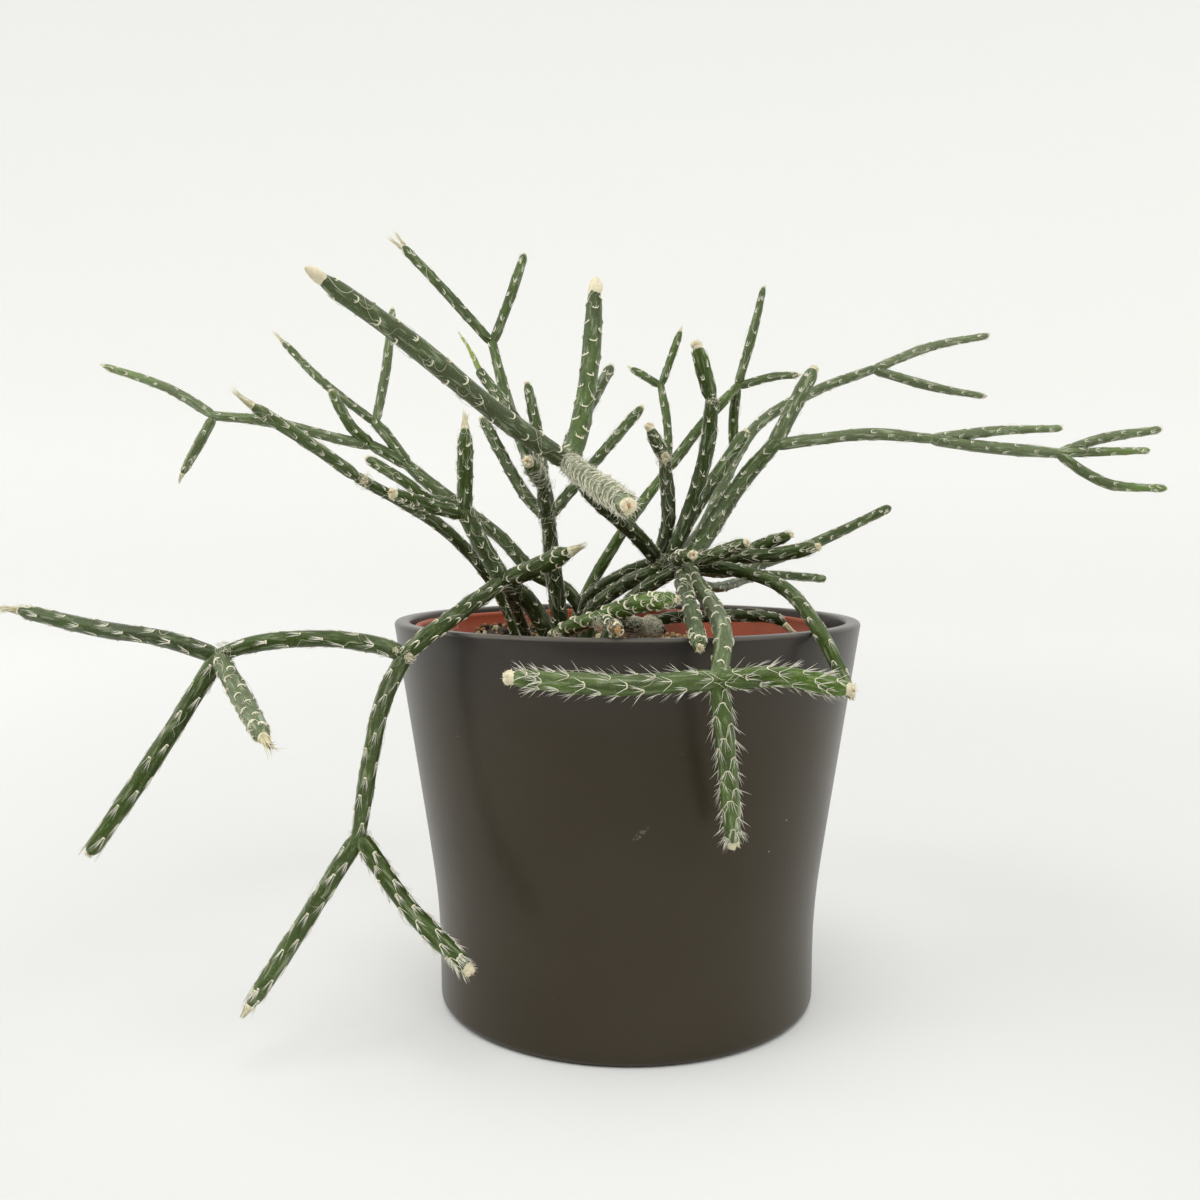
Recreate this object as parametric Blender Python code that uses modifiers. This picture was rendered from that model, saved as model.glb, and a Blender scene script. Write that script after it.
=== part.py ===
"""Potted Rhipsalis pilocarpa: a bristly hanging cactus in its nursery pot, standing in a cover pot.

The origin is the centre of the cover pot's underside, +Z is up and -Y is the front. Routes of the
stems are given in millimetres, through the middle of each stem, and everything else in metres.
"""

import math
import random

import bmesh
import bpy
import numpy as np
from mathutils import Matrix, Vector

MM = 0.001
GAP = 0.0003
SEED = 7

# Cover pot: an upright foot that bends softly into a straight flare
POT_HEIGHT = 0.1109
POT_FOOT_RADIUS = 0.0552
POT_FLARE = 0.152
POT_BEND_HEIGHT = 0.028
POT_BEND_LENGTH = 0.006
POT_BEND_STEPS = (3.0, 1.5, 0.5, -0.5, -1.5)
POT_WALL = 0.0043
POT_FLOOR = 0.005
POT_FOOT_ROUND = 0.0025
POT_SEGMENTS = 40
RIM_STEPS = 6
FOOT_STEPS = 4

# Nursery pot: thin plastic with a rolled lip and drain holes, pushed against the left wall
NURSERY_TOP = 0.1083
NURSERY_LIP_RADIUS = 0.060
NURSERY_LIP_DEPTH = 0.0045
NURSERY_NECK_RADIUS = 0.0578
NURSERY_BASE_RADIUS = 0.043
NURSERY_WALL = 0.0011
NURSERY_SEGMENTS = 36
LIP_STEPS = 5
DRAIN_RADIUS = 0.004
DRAIN_RING = 0.027
DRAIN_COUNT = 6
DRAIN_SIDES = 8

# Soil: the root ball, with a lumpy top and a plain hole for each rooted stem
SOIL_TOP = 0.100
SOIL_LUMP = 0.0008
SOIL_CRUMB = 0.0006
SOIL_LUMP_WAVE = 0.026
SOIL_CRUMB_WAVE = 0.0095
SOIL_RINGS = 6
SOIL_SEGMENTS = 32
HOLE_SIDES = 10

# Stems: the collar is where a stem leaves the soil, in millimetres like every route
COLLAR = 103
STEM_FOOT = 0.092
RING_SAG = 0.0005
RING_RUN = 0.060
SAMPLE_STEP = 0.001
NECK = 0.72
NECK_LENGTH = 0.0025
NECK_SINK = 0.3

# Bristles: one for each areole that is shown, on a spiral round the stem
GOLDEN_ANGLE = math.radians(137.5)
BRISTLE_SPACING = 0.0062
BRISTLE_LENGTH = 0.0050
BRISTLE_BASE = 0.00042
BRISTLE_SIDES = 3
BRISTLE_SINK = 0.5
BRISTLE_CLEARANCE = 0.0012
BRISTLE_SOIL_CLEARANCE = 0.0048
LEAN_PRESSED = math.radians(24.0)
LEAN_STANDING = math.radians(52.0)
LEAN_VARIES = 0.1
TIP_BRISTLES = 3

GREEN_DARK = (0.045, 0.085, 0.035)
GREEN = (0.060, 0.120, 0.040)
GREEN_BRIGHT = (0.105, 0.200, 0.055)

# How a branch ends
FORK = "fork"
WOOL = "wool"
POINT = "point"

# The rings that close each ending: (distance past the last point, share of the width), in radii
ENDINGS = {
    FORK: [(0.35, 0.75)],
    WOOL: [(0.55, 0.86), (1.05, 0.4)],
    POINT: [(0.6, 0.75), (1.6, 0.45), (3.0, 0.07)],
}

# How its bristles lie
PRESSED = "pressed"
STANDING = "standing"

# Forks of the front left stem
ELBOW = (-33, -32, 124)
LIP_FORK = (-55, -58, 107)
FAR_FORK = (-106, -46, 105)
DROP_FORK = (-69, -50, 59)
LEFT_FORK = (-44, -28, 142)

FRONT_LEFT = [
    (5.2, FORK, PRESSED, [(-20, -18, COLLAR), (-27, -24, 118), ELBOW]),
    (3.0, FORK, PRESSED, [(-28, -9, COLLAR), (-31, -20, 116), ELBOW]),
    (5.0, POINT, PRESSED, [ELBOW, (-26, -34, 127), (-15, -39, 132)]),
    (5.2, FORK, PRESSED, [ELBOW, (-40, -41, 119), (-45, -50, 115), (-49, -57, 112), LIP_FORK]),
    (4.3, FORK, PRESSED, [LIP_FORK, (-65, -52, 109), (-80, -49, 110), (-98, -47, 108), FAR_FORK]),
    (4.4, POINT, PRESSED, [FAR_FORK, (-122, -41, 109), (-144, -32, 111), (-170, -22, 115)]),
    (4.6, WOOL, PRESSED, [FAR_FORK, (-118, -54, 83), (-132, -64, 59)]),
    (5.0, POINT, PRESSED, [FAR_FORK, (-94, -62, 95), (-84, -80, 90)]),
    (4.3, FORK, PRESSED, [LIP_FORK, (-62, -52, 94), (-66, -50, 78), DROP_FORK]),
    (4.5, POINT, PRESSED, [DROP_FORK, (-82, -55, 38), (-94, -62, 19)]),
    (4.6, WOOL, STANDING, [DROP_FORK, (-55, -56, 42), (-40, -63, 30)]),
    (4.8, FORK, PRESSED, [ELBOW, (-37, -30, 130), LEFT_FORK]),
    (4.2, POINT, PRESSED, [LEFT_FORK, (-44, -26, 165)]),
    (3.8, WOOL, PRESSED, [LEFT_FORK, (-52, -33, 144), (-60, -41, 147)]),
]

# Forks of the back left stem
LOW_FORK = (-55, 34, 146)
FAN_FORK = (-73, 46, 159)
UPPER_FORK = (-86, 56, 174)
LOWER_FORK = (-86, 51, 166)
REACH_FORK = (-143, 60, 177)

BACK_LEFT = [
    (4.4, FORK, PRESSED, [(-11, 24, COLLAR), (-18, 21, 118), (-29, 22, 124), (-40, 27, 135), LOW_FORK]),
    (4.4, FORK, PRESSED, [LOW_FORK, (-64, 40, 152), FAN_FORK]),
    (3.6, WOOL, PRESSED, [LOW_FORK, (-63, 30, 147), (-71, 29, 153), (-83, 33, 160)]),
    (3.9, FORK, PRESSED, [FAN_FORK, (-81, 52, 169), UPPER_FORK]),
    (3.2, POINT, PRESSED, [UPPER_FORK, (-84, 65, 194), (-83, 72, 215)]),
    (3.0, POINT, PRESSED, [UPPER_FORK, (-109, 70, 191), (-124, 80, 205)]),
    (4.0, FORK, PRESSED, [FAN_FORK, LOWER_FORK]),
    (3.7, FORK, PRESSED, [LOWER_FORK, (-96, 53, 168), (-125, 58, 175), REACH_FORK]),
    (3.5, WOOL, PRESSED, [REACH_FORK, (-161, 66, 187), (-187, 74, 196)]),
    (3.4, POINT, PRESSED, [REACH_FORK, (-153, 56, 157)]),
    (3.7, WOOL, PRESSED, [LOWER_FORK, (-93, 52, 172), (-101, 57, 184)]),
]

LEFT_FORK_LOW = (-79, -2, 153)

LEFT = [
    (3.8, FORK, PRESSED, [(-33, 13, COLLAR), (-41, 10, 122), (-56, 4, 139), LEFT_FORK_LOW]),
    (3.7, POINT, PRESSED, [LEFT_FORK_LOW, (-89, -9, 161), (-104, -20, 172)]),
]

# Forks of the middle stem
HAIRY_FORK = (-23, -4, 141)
MIDDLE_TOP = (-24, -5, 151)
VEE_FORK = (-43, 32, 197)

MIDDLE = [
    (4.9, FORK, PRESSED, [(-19, 2, COLLAR), (-21, -2, 122), HAIRY_FORK]),
    (4.7, FORK, PRESSED, [HAIRY_FORK, MIDDLE_TOP]),
    (3.3, WOOL, PRESSED, [HAIRY_FORK, (-9, 10, 159), (4, 22, 175)]),
    (3.5, WOOL, PRESSED, [HAIRY_FORK, (-30, 2, 148), (-44, 16, 171)]),
    (4.4, WOOL, STANDING, [MIDDLE_TOP, (-27, -20, 156)]),
    (3.4, FORK, PRESSED, [MIDDLE_TOP, (-29, 4, 158), (-38, 23, 180), VEE_FORK]),
    (3.2, POINT, PRESSED, [VEE_FORK, (-60, 40, 216), (-76, 48, 233)]),
    (3.1, WOOL, PRESSED, [VEE_FORK, (-38, 37, 212), (-34, 44, 227)]),
    (3.3, POINT, PRESSED, [MIDDLE_TOP, (-27, 0, 161), (-44, 16, 185), (-53, 24, 200)]),
    (3.3, WOOL, PRESSED, [MIDDLE_TOP, (-26, 4, 163), (-30, 12, 181)]),
]

# Forks of the hub stem, which rises from the soil on three parents
HUB_BACK = (9, -5, 129)
HUB_MIDDLE = (12, -12, 128)
HUB_FRONT = (16, -21, 128)
KNEE = (-15, -47, 155)
UP_FORK = (11, -6, 158)
TALL_FORK = (24, -12, 174)
LONG_FORK = (44, 8, 163)
REACH_TWIN = (94, 22, 166)
REACH_TRIPLE = (137, 32, 162)
BACK_TWIN = (85, 66, 193)
SIDE_FORK = (31, -14, 130)
CROSS = (21, -82, 104)

HUB = [
    (3.8, FORK, PRESSED, [(-14, 13, COLLAR), (-12, 8, 116), (-2, 2, 124), HUB_BACK]),
    (4.1, FORK, PRESSED, [(-12, -8, COLLAR), (-10, -8, 114), (-2, -9, 121), HUB_MIDDLE]),
    (4.1, FORK, PRESSED, [(-7, -24, COLLAR), (1, -23, 118), HUB_FRONT]),
    (4.2, FORK, PRESSED, [HUB_BACK, HUB_MIDDLE]),
    (4.3, FORK, PRESSED, [HUB_MIDDLE, HUB_FRONT]),
    (3.8, POINT, PRESSED, [HUB_FRONT, (14, -28, 130), (17, -35, 131)]),
    (4.4, FORK, PRESSED, [HUB_BACK, (3, -15, 136), (-8, -32, 146), KNEE]),
    (5.0, WOOL, PRESSED, [KNEE, (-30, -62, 165), (-50, -82, 181), (-66, -96, 192)]),
    (5.1, WOOL, PRESSED, [KNEE, (-13, -40, 161), (-10, -22, 184), (-9, -8, 207)]),
    (4.9, WOOL, STANDING, [KNEE, (-8, -79, 149), (0, -115, 143)]),
    (3.5, WOOL, PRESSED, [KNEE, (-15, -24, 163), (-5, 2, 185)]),
    (4.1, FORK, PRESSED, [HUB_BACK, (12, -5, 140), UP_FORK]),
    (3.9, WOOL, PRESSED, [UP_FORK, (7, -8, 166)]),
    (4.3, FORK, PRESSED, [HUB_MIDDLE, (18, -10, 143), (23, -11, 162), TALL_FORK]),
    (4.4, WOOL, PRESSED, [TALL_FORK, (20, -14, 188)]),
    (4.0, WOOL, PRESSED, [HUB_MIDDLE, (19, -3, 142), (35, 8, 166)]),
    (5.0, FORK, PRESSED, [HUB_FRONT, (22, -12, 135), (35, 4, 153), LONG_FORK]),
    (4.8, WOOL, PRESSED, [LONG_FORK, (57, 20, 186)]),
    (3.7, FORK, PRESSED, [LONG_FORK, (57, 12, 165), (75, 17, 167), REACH_TWIN]),
    (3.2, WOOL, PRESSED, [REACH_TWIN, (118, 30, 169), (138, 34, 170)]),
    (3.8, FORK, PRESSED, [REACH_TWIN, (110, 27, 164), REACH_TRIPLE]),
    (3.2, POINT, PRESSED, [REACH_TRIPLE, (153, 37, 167), (172, 40, 170)]),
    (3.0, POINT, PRESSED, [REACH_TRIPLE, (166, 34, 163)]),
    (3.2, WOOL, PRESSED, [REACH_TRIPLE, (147, 31, 155), (155, 33, 152), (173, 37, 151)]),
    (3.6, FORK, PRESSED, [HUB_MIDDLE, (22, 6, 137), (42, 38, 171), (63, 52, 184), BACK_TWIN]),
    (3.2, WOOL, PRESSED, [BACK_TWIN, (107, 74, 202), (129, 82, 207)]),
    (3.2, WOOL, PRESSED, [BACK_TWIN, (109, 70, 187), (126, 76, 185)]),
    (4.0, WOOL, PRESSED, [HUB_FRONT, (24, -27, 131), (31, -32, 134)]),
    (4.1, FORK, PRESSED, [HUB_FRONT, (23, -17, 130), SIDE_FORK]),
    (3.4, WOOL, PRESSED, [SIDE_FORK, (37, -14, 133), (45, -17, 136)]),
    (4.0, WOOL, PRESSED, [SIDE_FORK, (42, -20, 131), (51, -25, 133)]),
    (3.2, WOOL, PRESSED, [HUB_MIDDLE, (26, 16, 120), (48, 58, 122), (71, 78, 120)]),
    (3.7, POINT, PRESSED, [HUB_MIDDLE, (32, 16, 125), (63, 50, 133), (92, 70, 145)]),
    (3.7, WOOL, STANDING, [HUB_FRONT, (28, -24, 127), (41, -33, 123), (49, -50, 112), (56, -54, 97)]),
    (4.6, FORK, STANDING, [HUB_FRONT, (19, -34, 123), (22, -50, 118), (23, -68, 113), CROSS]),
    (4.7, WOOL, STANDING, [CROSS, (-2, -84, COLLAR), (-25, -81, 104)]),
    (4.7, WOOL, STANDING, [CROSS, (36, -85, 105), (48, -88, COLLAR)]),
    (4.4, WOOL, STANDING, [CROSS, (24, -74, 81), (26, -65, 63)]),
    (4.1, WOOL, STANDING, [HUB_FRONT, (15, -38, 123), (16, -56, 118), (17, -75, 111)]),
]

# Forks of the back stem
SMALL_BRANCH = (14, 52, 158)
BACK_FORK = (39, 72, 188)
SMALL_VEE = (12, 70, 188)

BACK = [
    (3.7, FORK, PRESSED, [(-18, 37, COLLAR), (-14, 37, 115), (2, 42, 142), SMALL_BRANCH]),
    (3.6, FORK, PRESSED, [SMALL_BRANCH, (27, 63, 175), BACK_FORK]),
    (3.2, WOOL, PRESSED, [BACK_FORK, (45, 78, 208), (49, 82, 224)]),
    (3.1, WOOL, PRESSED, [BACK_FORK, (52, 77, 192), (61, 80, 193)]),
    (3.4, WOOL, PRESSED, [BACK_FORK, (38, 75, 177), (38, 74, 165)]),
    (2.9, FORK, PRESSED, [SMALL_BRANCH, (14, 62, 174), SMALL_VEE]),
    (2.7, POINT, PRESSED, [SMALL_VEE, (2, 78, 195)]),
    (2.7, POINT, PRESSED, [SMALL_VEE, (19, 78, 208)]),
]

RIM_FORK = (-7, -55, 116)

RIM = [
    (4.0, FORK, PRESSED, [(-22, -33, COLLAR), (-19, -40, 109), (-14, -48, 113), RIM_FORK]),
    (4.3, WOOL, STANDING, [RIM_FORK, (4, -60, 120), (11, -65, 121)]),
    (3.0, WOOL, PRESSED, [RIM_FORK, (-4, -62, 115), (-2, -68, 114)]),
    (3.2, WOOL, PRESSED, [RIM_FORK, (1, -51, 114), (10, -52, 114)]),
]

INSIDE = [
    (3.6, WOOL, PRESSED, [(5, 2, COLLAR), (10, 2, 110), (24, 2, 112), (41, 0, 112), (48, -2, 109)]),
]

STEMS = {
    "stem_front_left": (FRONT_LEFT, GREEN_BRIGHT),
    "stem_back_left": (BACK_LEFT, GREEN),
    "stem_left": (LEFT, GREEN_BRIGHT),
    "stem_middle": (MIDDLE, GREEN_DARK),
    "stem_hub": (HUB, GREEN),
    "stem_back": (BACK, GREEN),
    "stem_rim": (RIM, GREEN),
    "stem_inside": (INSIDE, GREEN_DARK),
}


def clear_scene():
    for obj in list(bpy.data.objects):
        bpy.data.objects.remove(obj)


def collection(name):
    made = bpy.data.collections.new(name)
    bpy.context.scene.collection.children.link(made)
    return made


def material(name, colour, roughness):
    made = bpy.data.materials.new(name)
    made.use_nodes = True
    shader = made.node_tree.nodes["Principled BSDF"]
    shader.inputs["Base Color"].default_value = (*colour, 1.0)
    shader.inputs["Roughness"].default_value = roughness
    shader.inputs["Metallic"].default_value = 0.0
    return made


def object_of(name, mesh, home):
    obj = bpy.data.objects.new(name, mesh)
    home.objects.link(obj)
    return obj


def evaluated_mesh(obj):
    """A new mesh with the object's modifiers or curve settings applied."""
    graph = bpy.context.evaluated_depsgraph_get()
    return bpy.data.meshes.new_from_object(obj.evaluated_get(graph))


def settle(obj):
    """Applies the object's modifiers."""
    mesh = evaluated_mesh(obj)
    obj.modifiers.clear()
    obj.data = mesh


def turned(name, profile, segments, home):
    """A solid turned round Z from (radius, height) points that run down its outer side."""
    mesh = bpy.data.meshes.new(name)
    points = [(radius, 0.0, height) for radius, height in profile]
    edges = [(i, i + 1) for i in range(len(points) - 1)]
    mesh.from_pydata(points, edges, [])
    obj = object_of(name, mesh, home)
    screw = obj.modifiers.new("Turn", "SCREW")
    screw.steps = segments
    screw.render_steps = segments
    screw.use_merge_vertices = True
    screw.merge_threshold = 0.00001
    settle(obj)
    obj.data.shade_smooth()
    obj.data.set_sharp_from_angle(angle=math.radians(35.0))
    return obj


def arc(centre, radius, start, end, count):
    """Points on an arc of a profile, from one angle to another in degrees."""
    angles = np.radians(np.linspace(start, end, count))
    return [(centre[0] + radius * math.cos(a), centre[1] + radius * math.sin(a)) for a in angles]


def pot_radius(height):
    """Outer radius of the cover pot: upright below the bend, a straight flare above it."""
    rise = (height - POT_BEND_HEIGHT) / POT_BEND_LENGTH
    return POT_FOOT_RADIUS + POT_FLARE * POT_BEND_LENGTH * math.log1p(math.exp(rise))


def cover_pot(home):
    half_wall = POT_WALL / 2
    rim_height = POT_HEIGHT - half_wall
    rim_middle = pot_radius(rim_height) - half_wall
    bend = np.array(POT_BEND_STEPS) * POT_BEND_LENGTH + POT_BEND_HEIGHT
    floor_edge = pot_radius(POT_FLOOR) - POT_WALL
    foot = (POT_FOOT_RADIUS - POT_FOOT_ROUND, POT_FOOT_ROUND)
    profile = [(0.0, POT_FLOOR), (floor_edge - POT_WALL, POT_FLOOR), (floor_edge, 2 * POT_FLOOR)]
    profile += [(pot_radius(h) - POT_WALL, h) for h in bend[::-2]]
    profile += arc((rim_middle, rim_height), half_wall, 180.0, 0.0, RIM_STEPS)
    profile += [(pot_radius(h), h) for h in bend]
    profile += arc(foot, POT_FOOT_ROUND, 0.0, -90.0, FOOT_STEPS)
    profile += [(0.0, 0.0)]
    obj = turned("cover_pot", profile, POT_SEGMENTS, home)
    obj.data.materials.append(material("dark ceramic", (0.048, 0.043, 0.037), 0.5))
    return obj


def nursery_centre():
    """How far left the nursery pot's axis lies, with its lip against the cover pot's wall."""
    wall = pot_radius(NURSERY_TOP - NURSERY_LIP_DEPTH) - POT_WALL
    return -(wall - NURSERY_LIP_RADIUS - GAP)


def nursery_radius(height):
    """Inner radius of the nursery pot, a straight taper from its neck to its base."""
    base = POT_FLOOR + GAP
    neck = NURSERY_TOP - NURSERY_LIP_DEPTH
    share = (height - base) / (neck - base)
    taper = NURSERY_NECK_RADIUS - NURSERY_BASE_RADIUS
    return NURSERY_BASE_RADIUS + share * taper - NURSERY_WALL


def nursery_pot(home, cutters):
    base = POT_FLOOR + GAP
    neck = NURSERY_TOP - NURSERY_LIP_DEPTH
    half_wall = NURSERY_WALL / 2
    top = NURSERY_TOP - half_wall
    outer = NURSERY_LIP_RADIUS
    profile = [
        (0.0, base + NURSERY_WALL),
        (nursery_radius(base), base + NURSERY_WALL),
        (nursery_radius(neck), neck),
        (outer - 2 * NURSERY_WALL, neck + NURSERY_WALL),
        (outer - 2 * NURSERY_WALL, top - NURSERY_WALL),
    ]
    profile += arc((outer - NURSERY_WALL, top - half_wall), NURSERY_WALL, 180.0, 0.0, LIP_STEPS)
    profile += [
        (outer, neck),
        (NURSERY_NECK_RADIUS + NURSERY_WALL / 4, neck - NURSERY_WALL / 2),
        (NURSERY_BASE_RADIUS, base),
        (0.0, base),
    ]
    obj = turned("nursery_pot", profile, NURSERY_SEGMENTS, home)
    for i in range(DRAIN_COUNT):
        angle = 2.0 * math.pi * i / DRAIN_COUNT
        place = (DRAIN_RING * math.cos(angle), DRAIN_RING * math.sin(angle), base)
        depth = 4 * NURSERY_WALL
        cut(obj, upright_cutter(f"drain_{i}", place, DRAIN_RADIUS, depth, DRAIN_SIDES, cutters))
    settle(obj)
    shift(obj, nursery_centre())
    obj.data.materials.append(material("terracotta plastic", (0.34, 0.085, 0.045), 0.45))
    return obj


def shift(obj, across):
    """Moves the mesh itself along X, so that the object stays at the origin."""
    obj.data.transform(Matrix.Translation((across, 0.0, 0.0)))


def upright_cutter(name, place, radius, depth, sides, cutters):
    """A vertical prism to cut with, centred on a point."""
    shape = bmesh.new()
    bmesh.ops.create_cone(
        shape, cap_ends=True, segments=sides, radius1=radius, radius2=radius, depth=depth
    )
    bmesh.ops.translate(shape, verts=shape.verts, vec=place)
    mesh = bpy.data.meshes.new(name)
    shape.to_mesh(mesh)
    shape.free()
    obj = object_of(name, mesh, cutters)
    obj.hide_render = True
    obj.display_type = "WIRE"
    return obj


def cut(obj, cutter):
    boolean = obj.modifiers.new(cutter.name, "BOOLEAN")
    boolean.operation = "DIFFERENCE"
    boolean.solver = "EXACT"
    boolean.object = cutter


def lump(points):
    """Height of the lumps and crumbs on the soil: two crossing waves, and a finer slanted one."""
    across = 2.0 * math.pi * points[:, 0]
    back = 2.0 * math.pi * points[:, 1]
    lumps = np.sin(across / SOIL_LUMP_WAVE + 1.0) * np.sin(back / SOIL_LUMP_WAVE)
    crumbs = np.sin((across - back) / SOIL_CRUMB_WAVE)
    return SOIL_LUMP * lumps + SOIL_CRUMB * crumbs


def soil(home, cutters):
    base = POT_FLOOR + GAP + NURSERY_WALL + GAP
    edge = nursery_radius(SOIL_TOP) - GAP
    radii = np.linspace(0.0, edge, SOIL_RINGS)
    profile = [(radius, SOIL_TOP) for radius in radii]
    profile += [(nursery_radius(base) - 2 * GAP, base), (0.0, base)]
    obj = turned("soil", profile, SOIL_SEGMENTS, home)
    count = len(obj.data.vertices)
    points = np.empty(count * 3, np.float32)
    obj.data.vertices.foreach_get("co", points)
    points = points.reshape(count, 3)
    inner = (points[:, 2] > SOIL_TOP - GAP) & (np.hypot(points[:, 0], points[:, 1]) < edge - GAP)
    points[inner, 2] += lump(points[inner])
    obj.data.vertices.foreach_set("co", points.ravel())
    shift(obj, nursery_centre())
    for number, (x, y, radius) in enumerate(rooted_places()):
        depth = 4 * (SOIL_TOP - STEM_FOOT)
        middle = (x, y, STEM_FOOT - GAP + depth / 2)
        hole = (radius + GAP) / math.cos(math.pi / HOLE_SIDES)
        cutter = upright_cutter(f"hole_{number}", middle, hole, depth, HOLE_SIDES, cutters)
        cut(obj, cutter)
    settle(obj)
    obj.data.materials.append(material("potting soil", (0.11, 0.075, 0.04), 0.95))
    return obj


def is_rooted(route):
    """A branch grows out of the soil when its route starts at the height of the collar."""
    return route[0][2] == COLLAR


def rooted_places():
    """(x, y, radius) of every stem that stands in the soil."""
    places = []
    for branches, _ in STEMS.values():
        for diameter, _, _, route in branches:
            if is_rooted(route):
                places.append((route[0][0] * MM, route[0][1] * MM, diameter * MM / 2))
    return places


def smooth_route(route):
    """Points a step apart on a smooth curve through the route.

    Each stretch is a cubic whose slopes at its ends come from its neighbours, weighed by the square
    root of the distances, so that uneven points give no loops.
    """
    knots = np.array(route, float) * MM
    if len(knots) == 2:
        count = max(2, round(float(np.linalg.norm(knots[1] - knots[0])) / SAMPLE_STEP))
        share = np.linspace(0.0, 1.0, count)[:, None]
        return knots[0] * (1.0 - share) + knots[1] * share
    ends = np.vstack([2 * knots[0] - knots[1], knots, 2 * knots[-1] - knots[-2]])
    pieces = []
    for before, start, end, after in zip(ends, ends[1:], ends[2:], ends[3:]):
        length = float(np.linalg.norm(end - start))
        last = math.sqrt(float(np.linalg.norm(start - before)))
        here = math.sqrt(length)
        following = math.sqrt(float(np.linalg.norm(after - end)))
        leave = (start - before) / last - (end - before) / (last + here) + (end - start) / here
        arrive = (end - start) / here - (after - start) / (here + following) + (after - end) / following
        t = np.arange(0.0, 1.0, SAMPLE_STEP / length)[:, None]
        piece = (2 * t**3 - 3 * t**2 + 1) * start + (3 * t**2 - 2 * t**3) * end
        piece += (t**3 - 2 * t**2 + t) * leave * here + (t**3 - t**2) * arrive * here
        pieces.append(piece)
    pieces.append(knots[-1:])
    return np.vstack(pieces)


def headings(points):
    """Unit directions along a curve."""
    steps = np.gradient(points, axis=0)
    return steps / np.linalg.norm(steps, axis=1, keepdims=True)


def ring_choice(points, first):
    """Indices of the samples where the tube needs a ring.

    A run that turns by an angle stands off its chord by about run x angle / 8.
    """
    along = headings(points)
    kept = [first]
    for i in range(first + 1, len(points) - 2):
        turn = math.acos(min(1.0, float(along[i] @ along[kept[-1]])))
        run = (i - kept[-1]) * SAMPLE_STEP
        if run * turn / 8 > RING_SAG or run > RING_RUN:
            kept.append(i)
    kept.append(len(points) - 1)
    return kept


def tube_rings(diameter, ending, route):
    """(point, share of the width) for each ring of a branch, foot and tip with them."""
    points = smooth_route(route)
    along = headings(points)
    radius = diameter * MM / 2
    rings = []
    first = 0
    if is_rooted(route):
        rings.append((np.array([points[0][0], points[0][1], STEM_FOOT]), 1.0))
    else:
        rings.append((points[0] - along[0] * NECK_SINK * radius, NECK))
        first = min(len(points) // 3, round(NECK_LENGTH / SAMPLE_STEP))
    rings += [(points[i], 1.0) for i in ring_choice(points, first)]
    rings += [(points[-1] + along[-1] * past * radius, share) for past, share in ENDINGS[ending]]
    return rings


def tube(name, diameter, ending, route, home):
    """A branch as a closed six-sided tube, made from a bevelled curve."""
    rings = tube_rings(diameter, ending, route)
    curve = bpy.data.curves.new(name, "CURVE")
    curve.dimensions = "3D"
    curve.bevel_depth = diameter * MM / 2
    curve.bevel_resolution = 1
    curve.use_fill_caps = True
    spline = curve.splines.new("POLY")
    spline.points.add(len(rings) - 1)
    for point, (place, share) in zip(spline.points, rings):
        point.co = (*place, 1.0)
        point.radius = share
    guide = object_of(f"{name}_guide", curve, home)
    bpy.context.view_layer.update()
    mesh = evaluated_mesh(guide)
    welded = bmesh.new()
    welded.from_mesh(mesh)
    bmesh.ops.remove_doubles(welded, verts=welded.verts, dist=0.000001)
    bmesh.ops.recalc_face_normals(welded, faces=welded.faces)
    welded.to_mesh(mesh)
    welded.free()
    obj = object_of(name, mesh, home)
    obj.matrix_world = guide.matrix_world
    bpy.data.objects.remove(guide)
    return obj


def side_of(along, angle):
    """A unit direction square to the stem, turned round it by an angle."""
    up = np.array([0.0, 0.0, 1.0]) if abs(along[2]) < 0.9 else np.array([1.0, 0.0, 0.0])
    across = np.cross(along, up)
    across /= np.linalg.norm(across)
    third = np.cross(along, across)
    return math.cos(angle) * across + math.sin(angle) * third


def bristle_places(branch, rng):
    """(root, direction) of each bristle of a branch, on a spiral that runs to its tip.

    The spiral follows the straight runs between the tube's rings, so every root is in the flesh.
    """
    diameter, ending, habit, route = branch
    rings = np.array([place for place, _ in tube_rings(diameter, ending, route)])
    radius = diameter * MM / 2
    lean = LEAN_PRESSED if habit == PRESSED else LEAN_STANDING
    angle = rng.uniform(0.0, 2.0 * math.pi)
    left = BRISTLE_SPACING / 2
    places = []
    last = len(rings) - len(ENDINGS[ending])
    for start, end in zip(rings[:last], rings[1:last]):
        run = float(np.linalg.norm(end - start))
        along = (end - start) / run
        while left < run:
            side = side_of(along, angle)
            tilt = lean + rng.uniform(-LEAN_VARIES, LEAN_VARIES)
            heading = math.cos(tilt) * along + math.sin(tilt) * side
            places.append((start + along * left + side * radius * BRISTLE_SINK, heading))
            angle += GOLDEN_ANGLE
            left += BRISTLE_SPACING
        left -= run
    if ending == WOOL:
        for number in range(TIP_BRISTLES):
            side = side_of(along, angle + 2.0 * math.pi * number / TIP_BRISTLES)
            heading = math.cos(lean) * along + math.sin(lean) * side
            places.append((rings[last - 1] + side * radius * BRISTLE_SINK, heading))
    return places


def other_stems(own):
    """Middle lines of all the other stems, as (points, radius)."""
    lines = []
    for name, (branches, _) in STEMS.items():
        if name != own:
            for diameter, _, _, route in branches:
                lines.append((smooth_route(route)[::2], diameter * MM / 2))
    return lines


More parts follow.
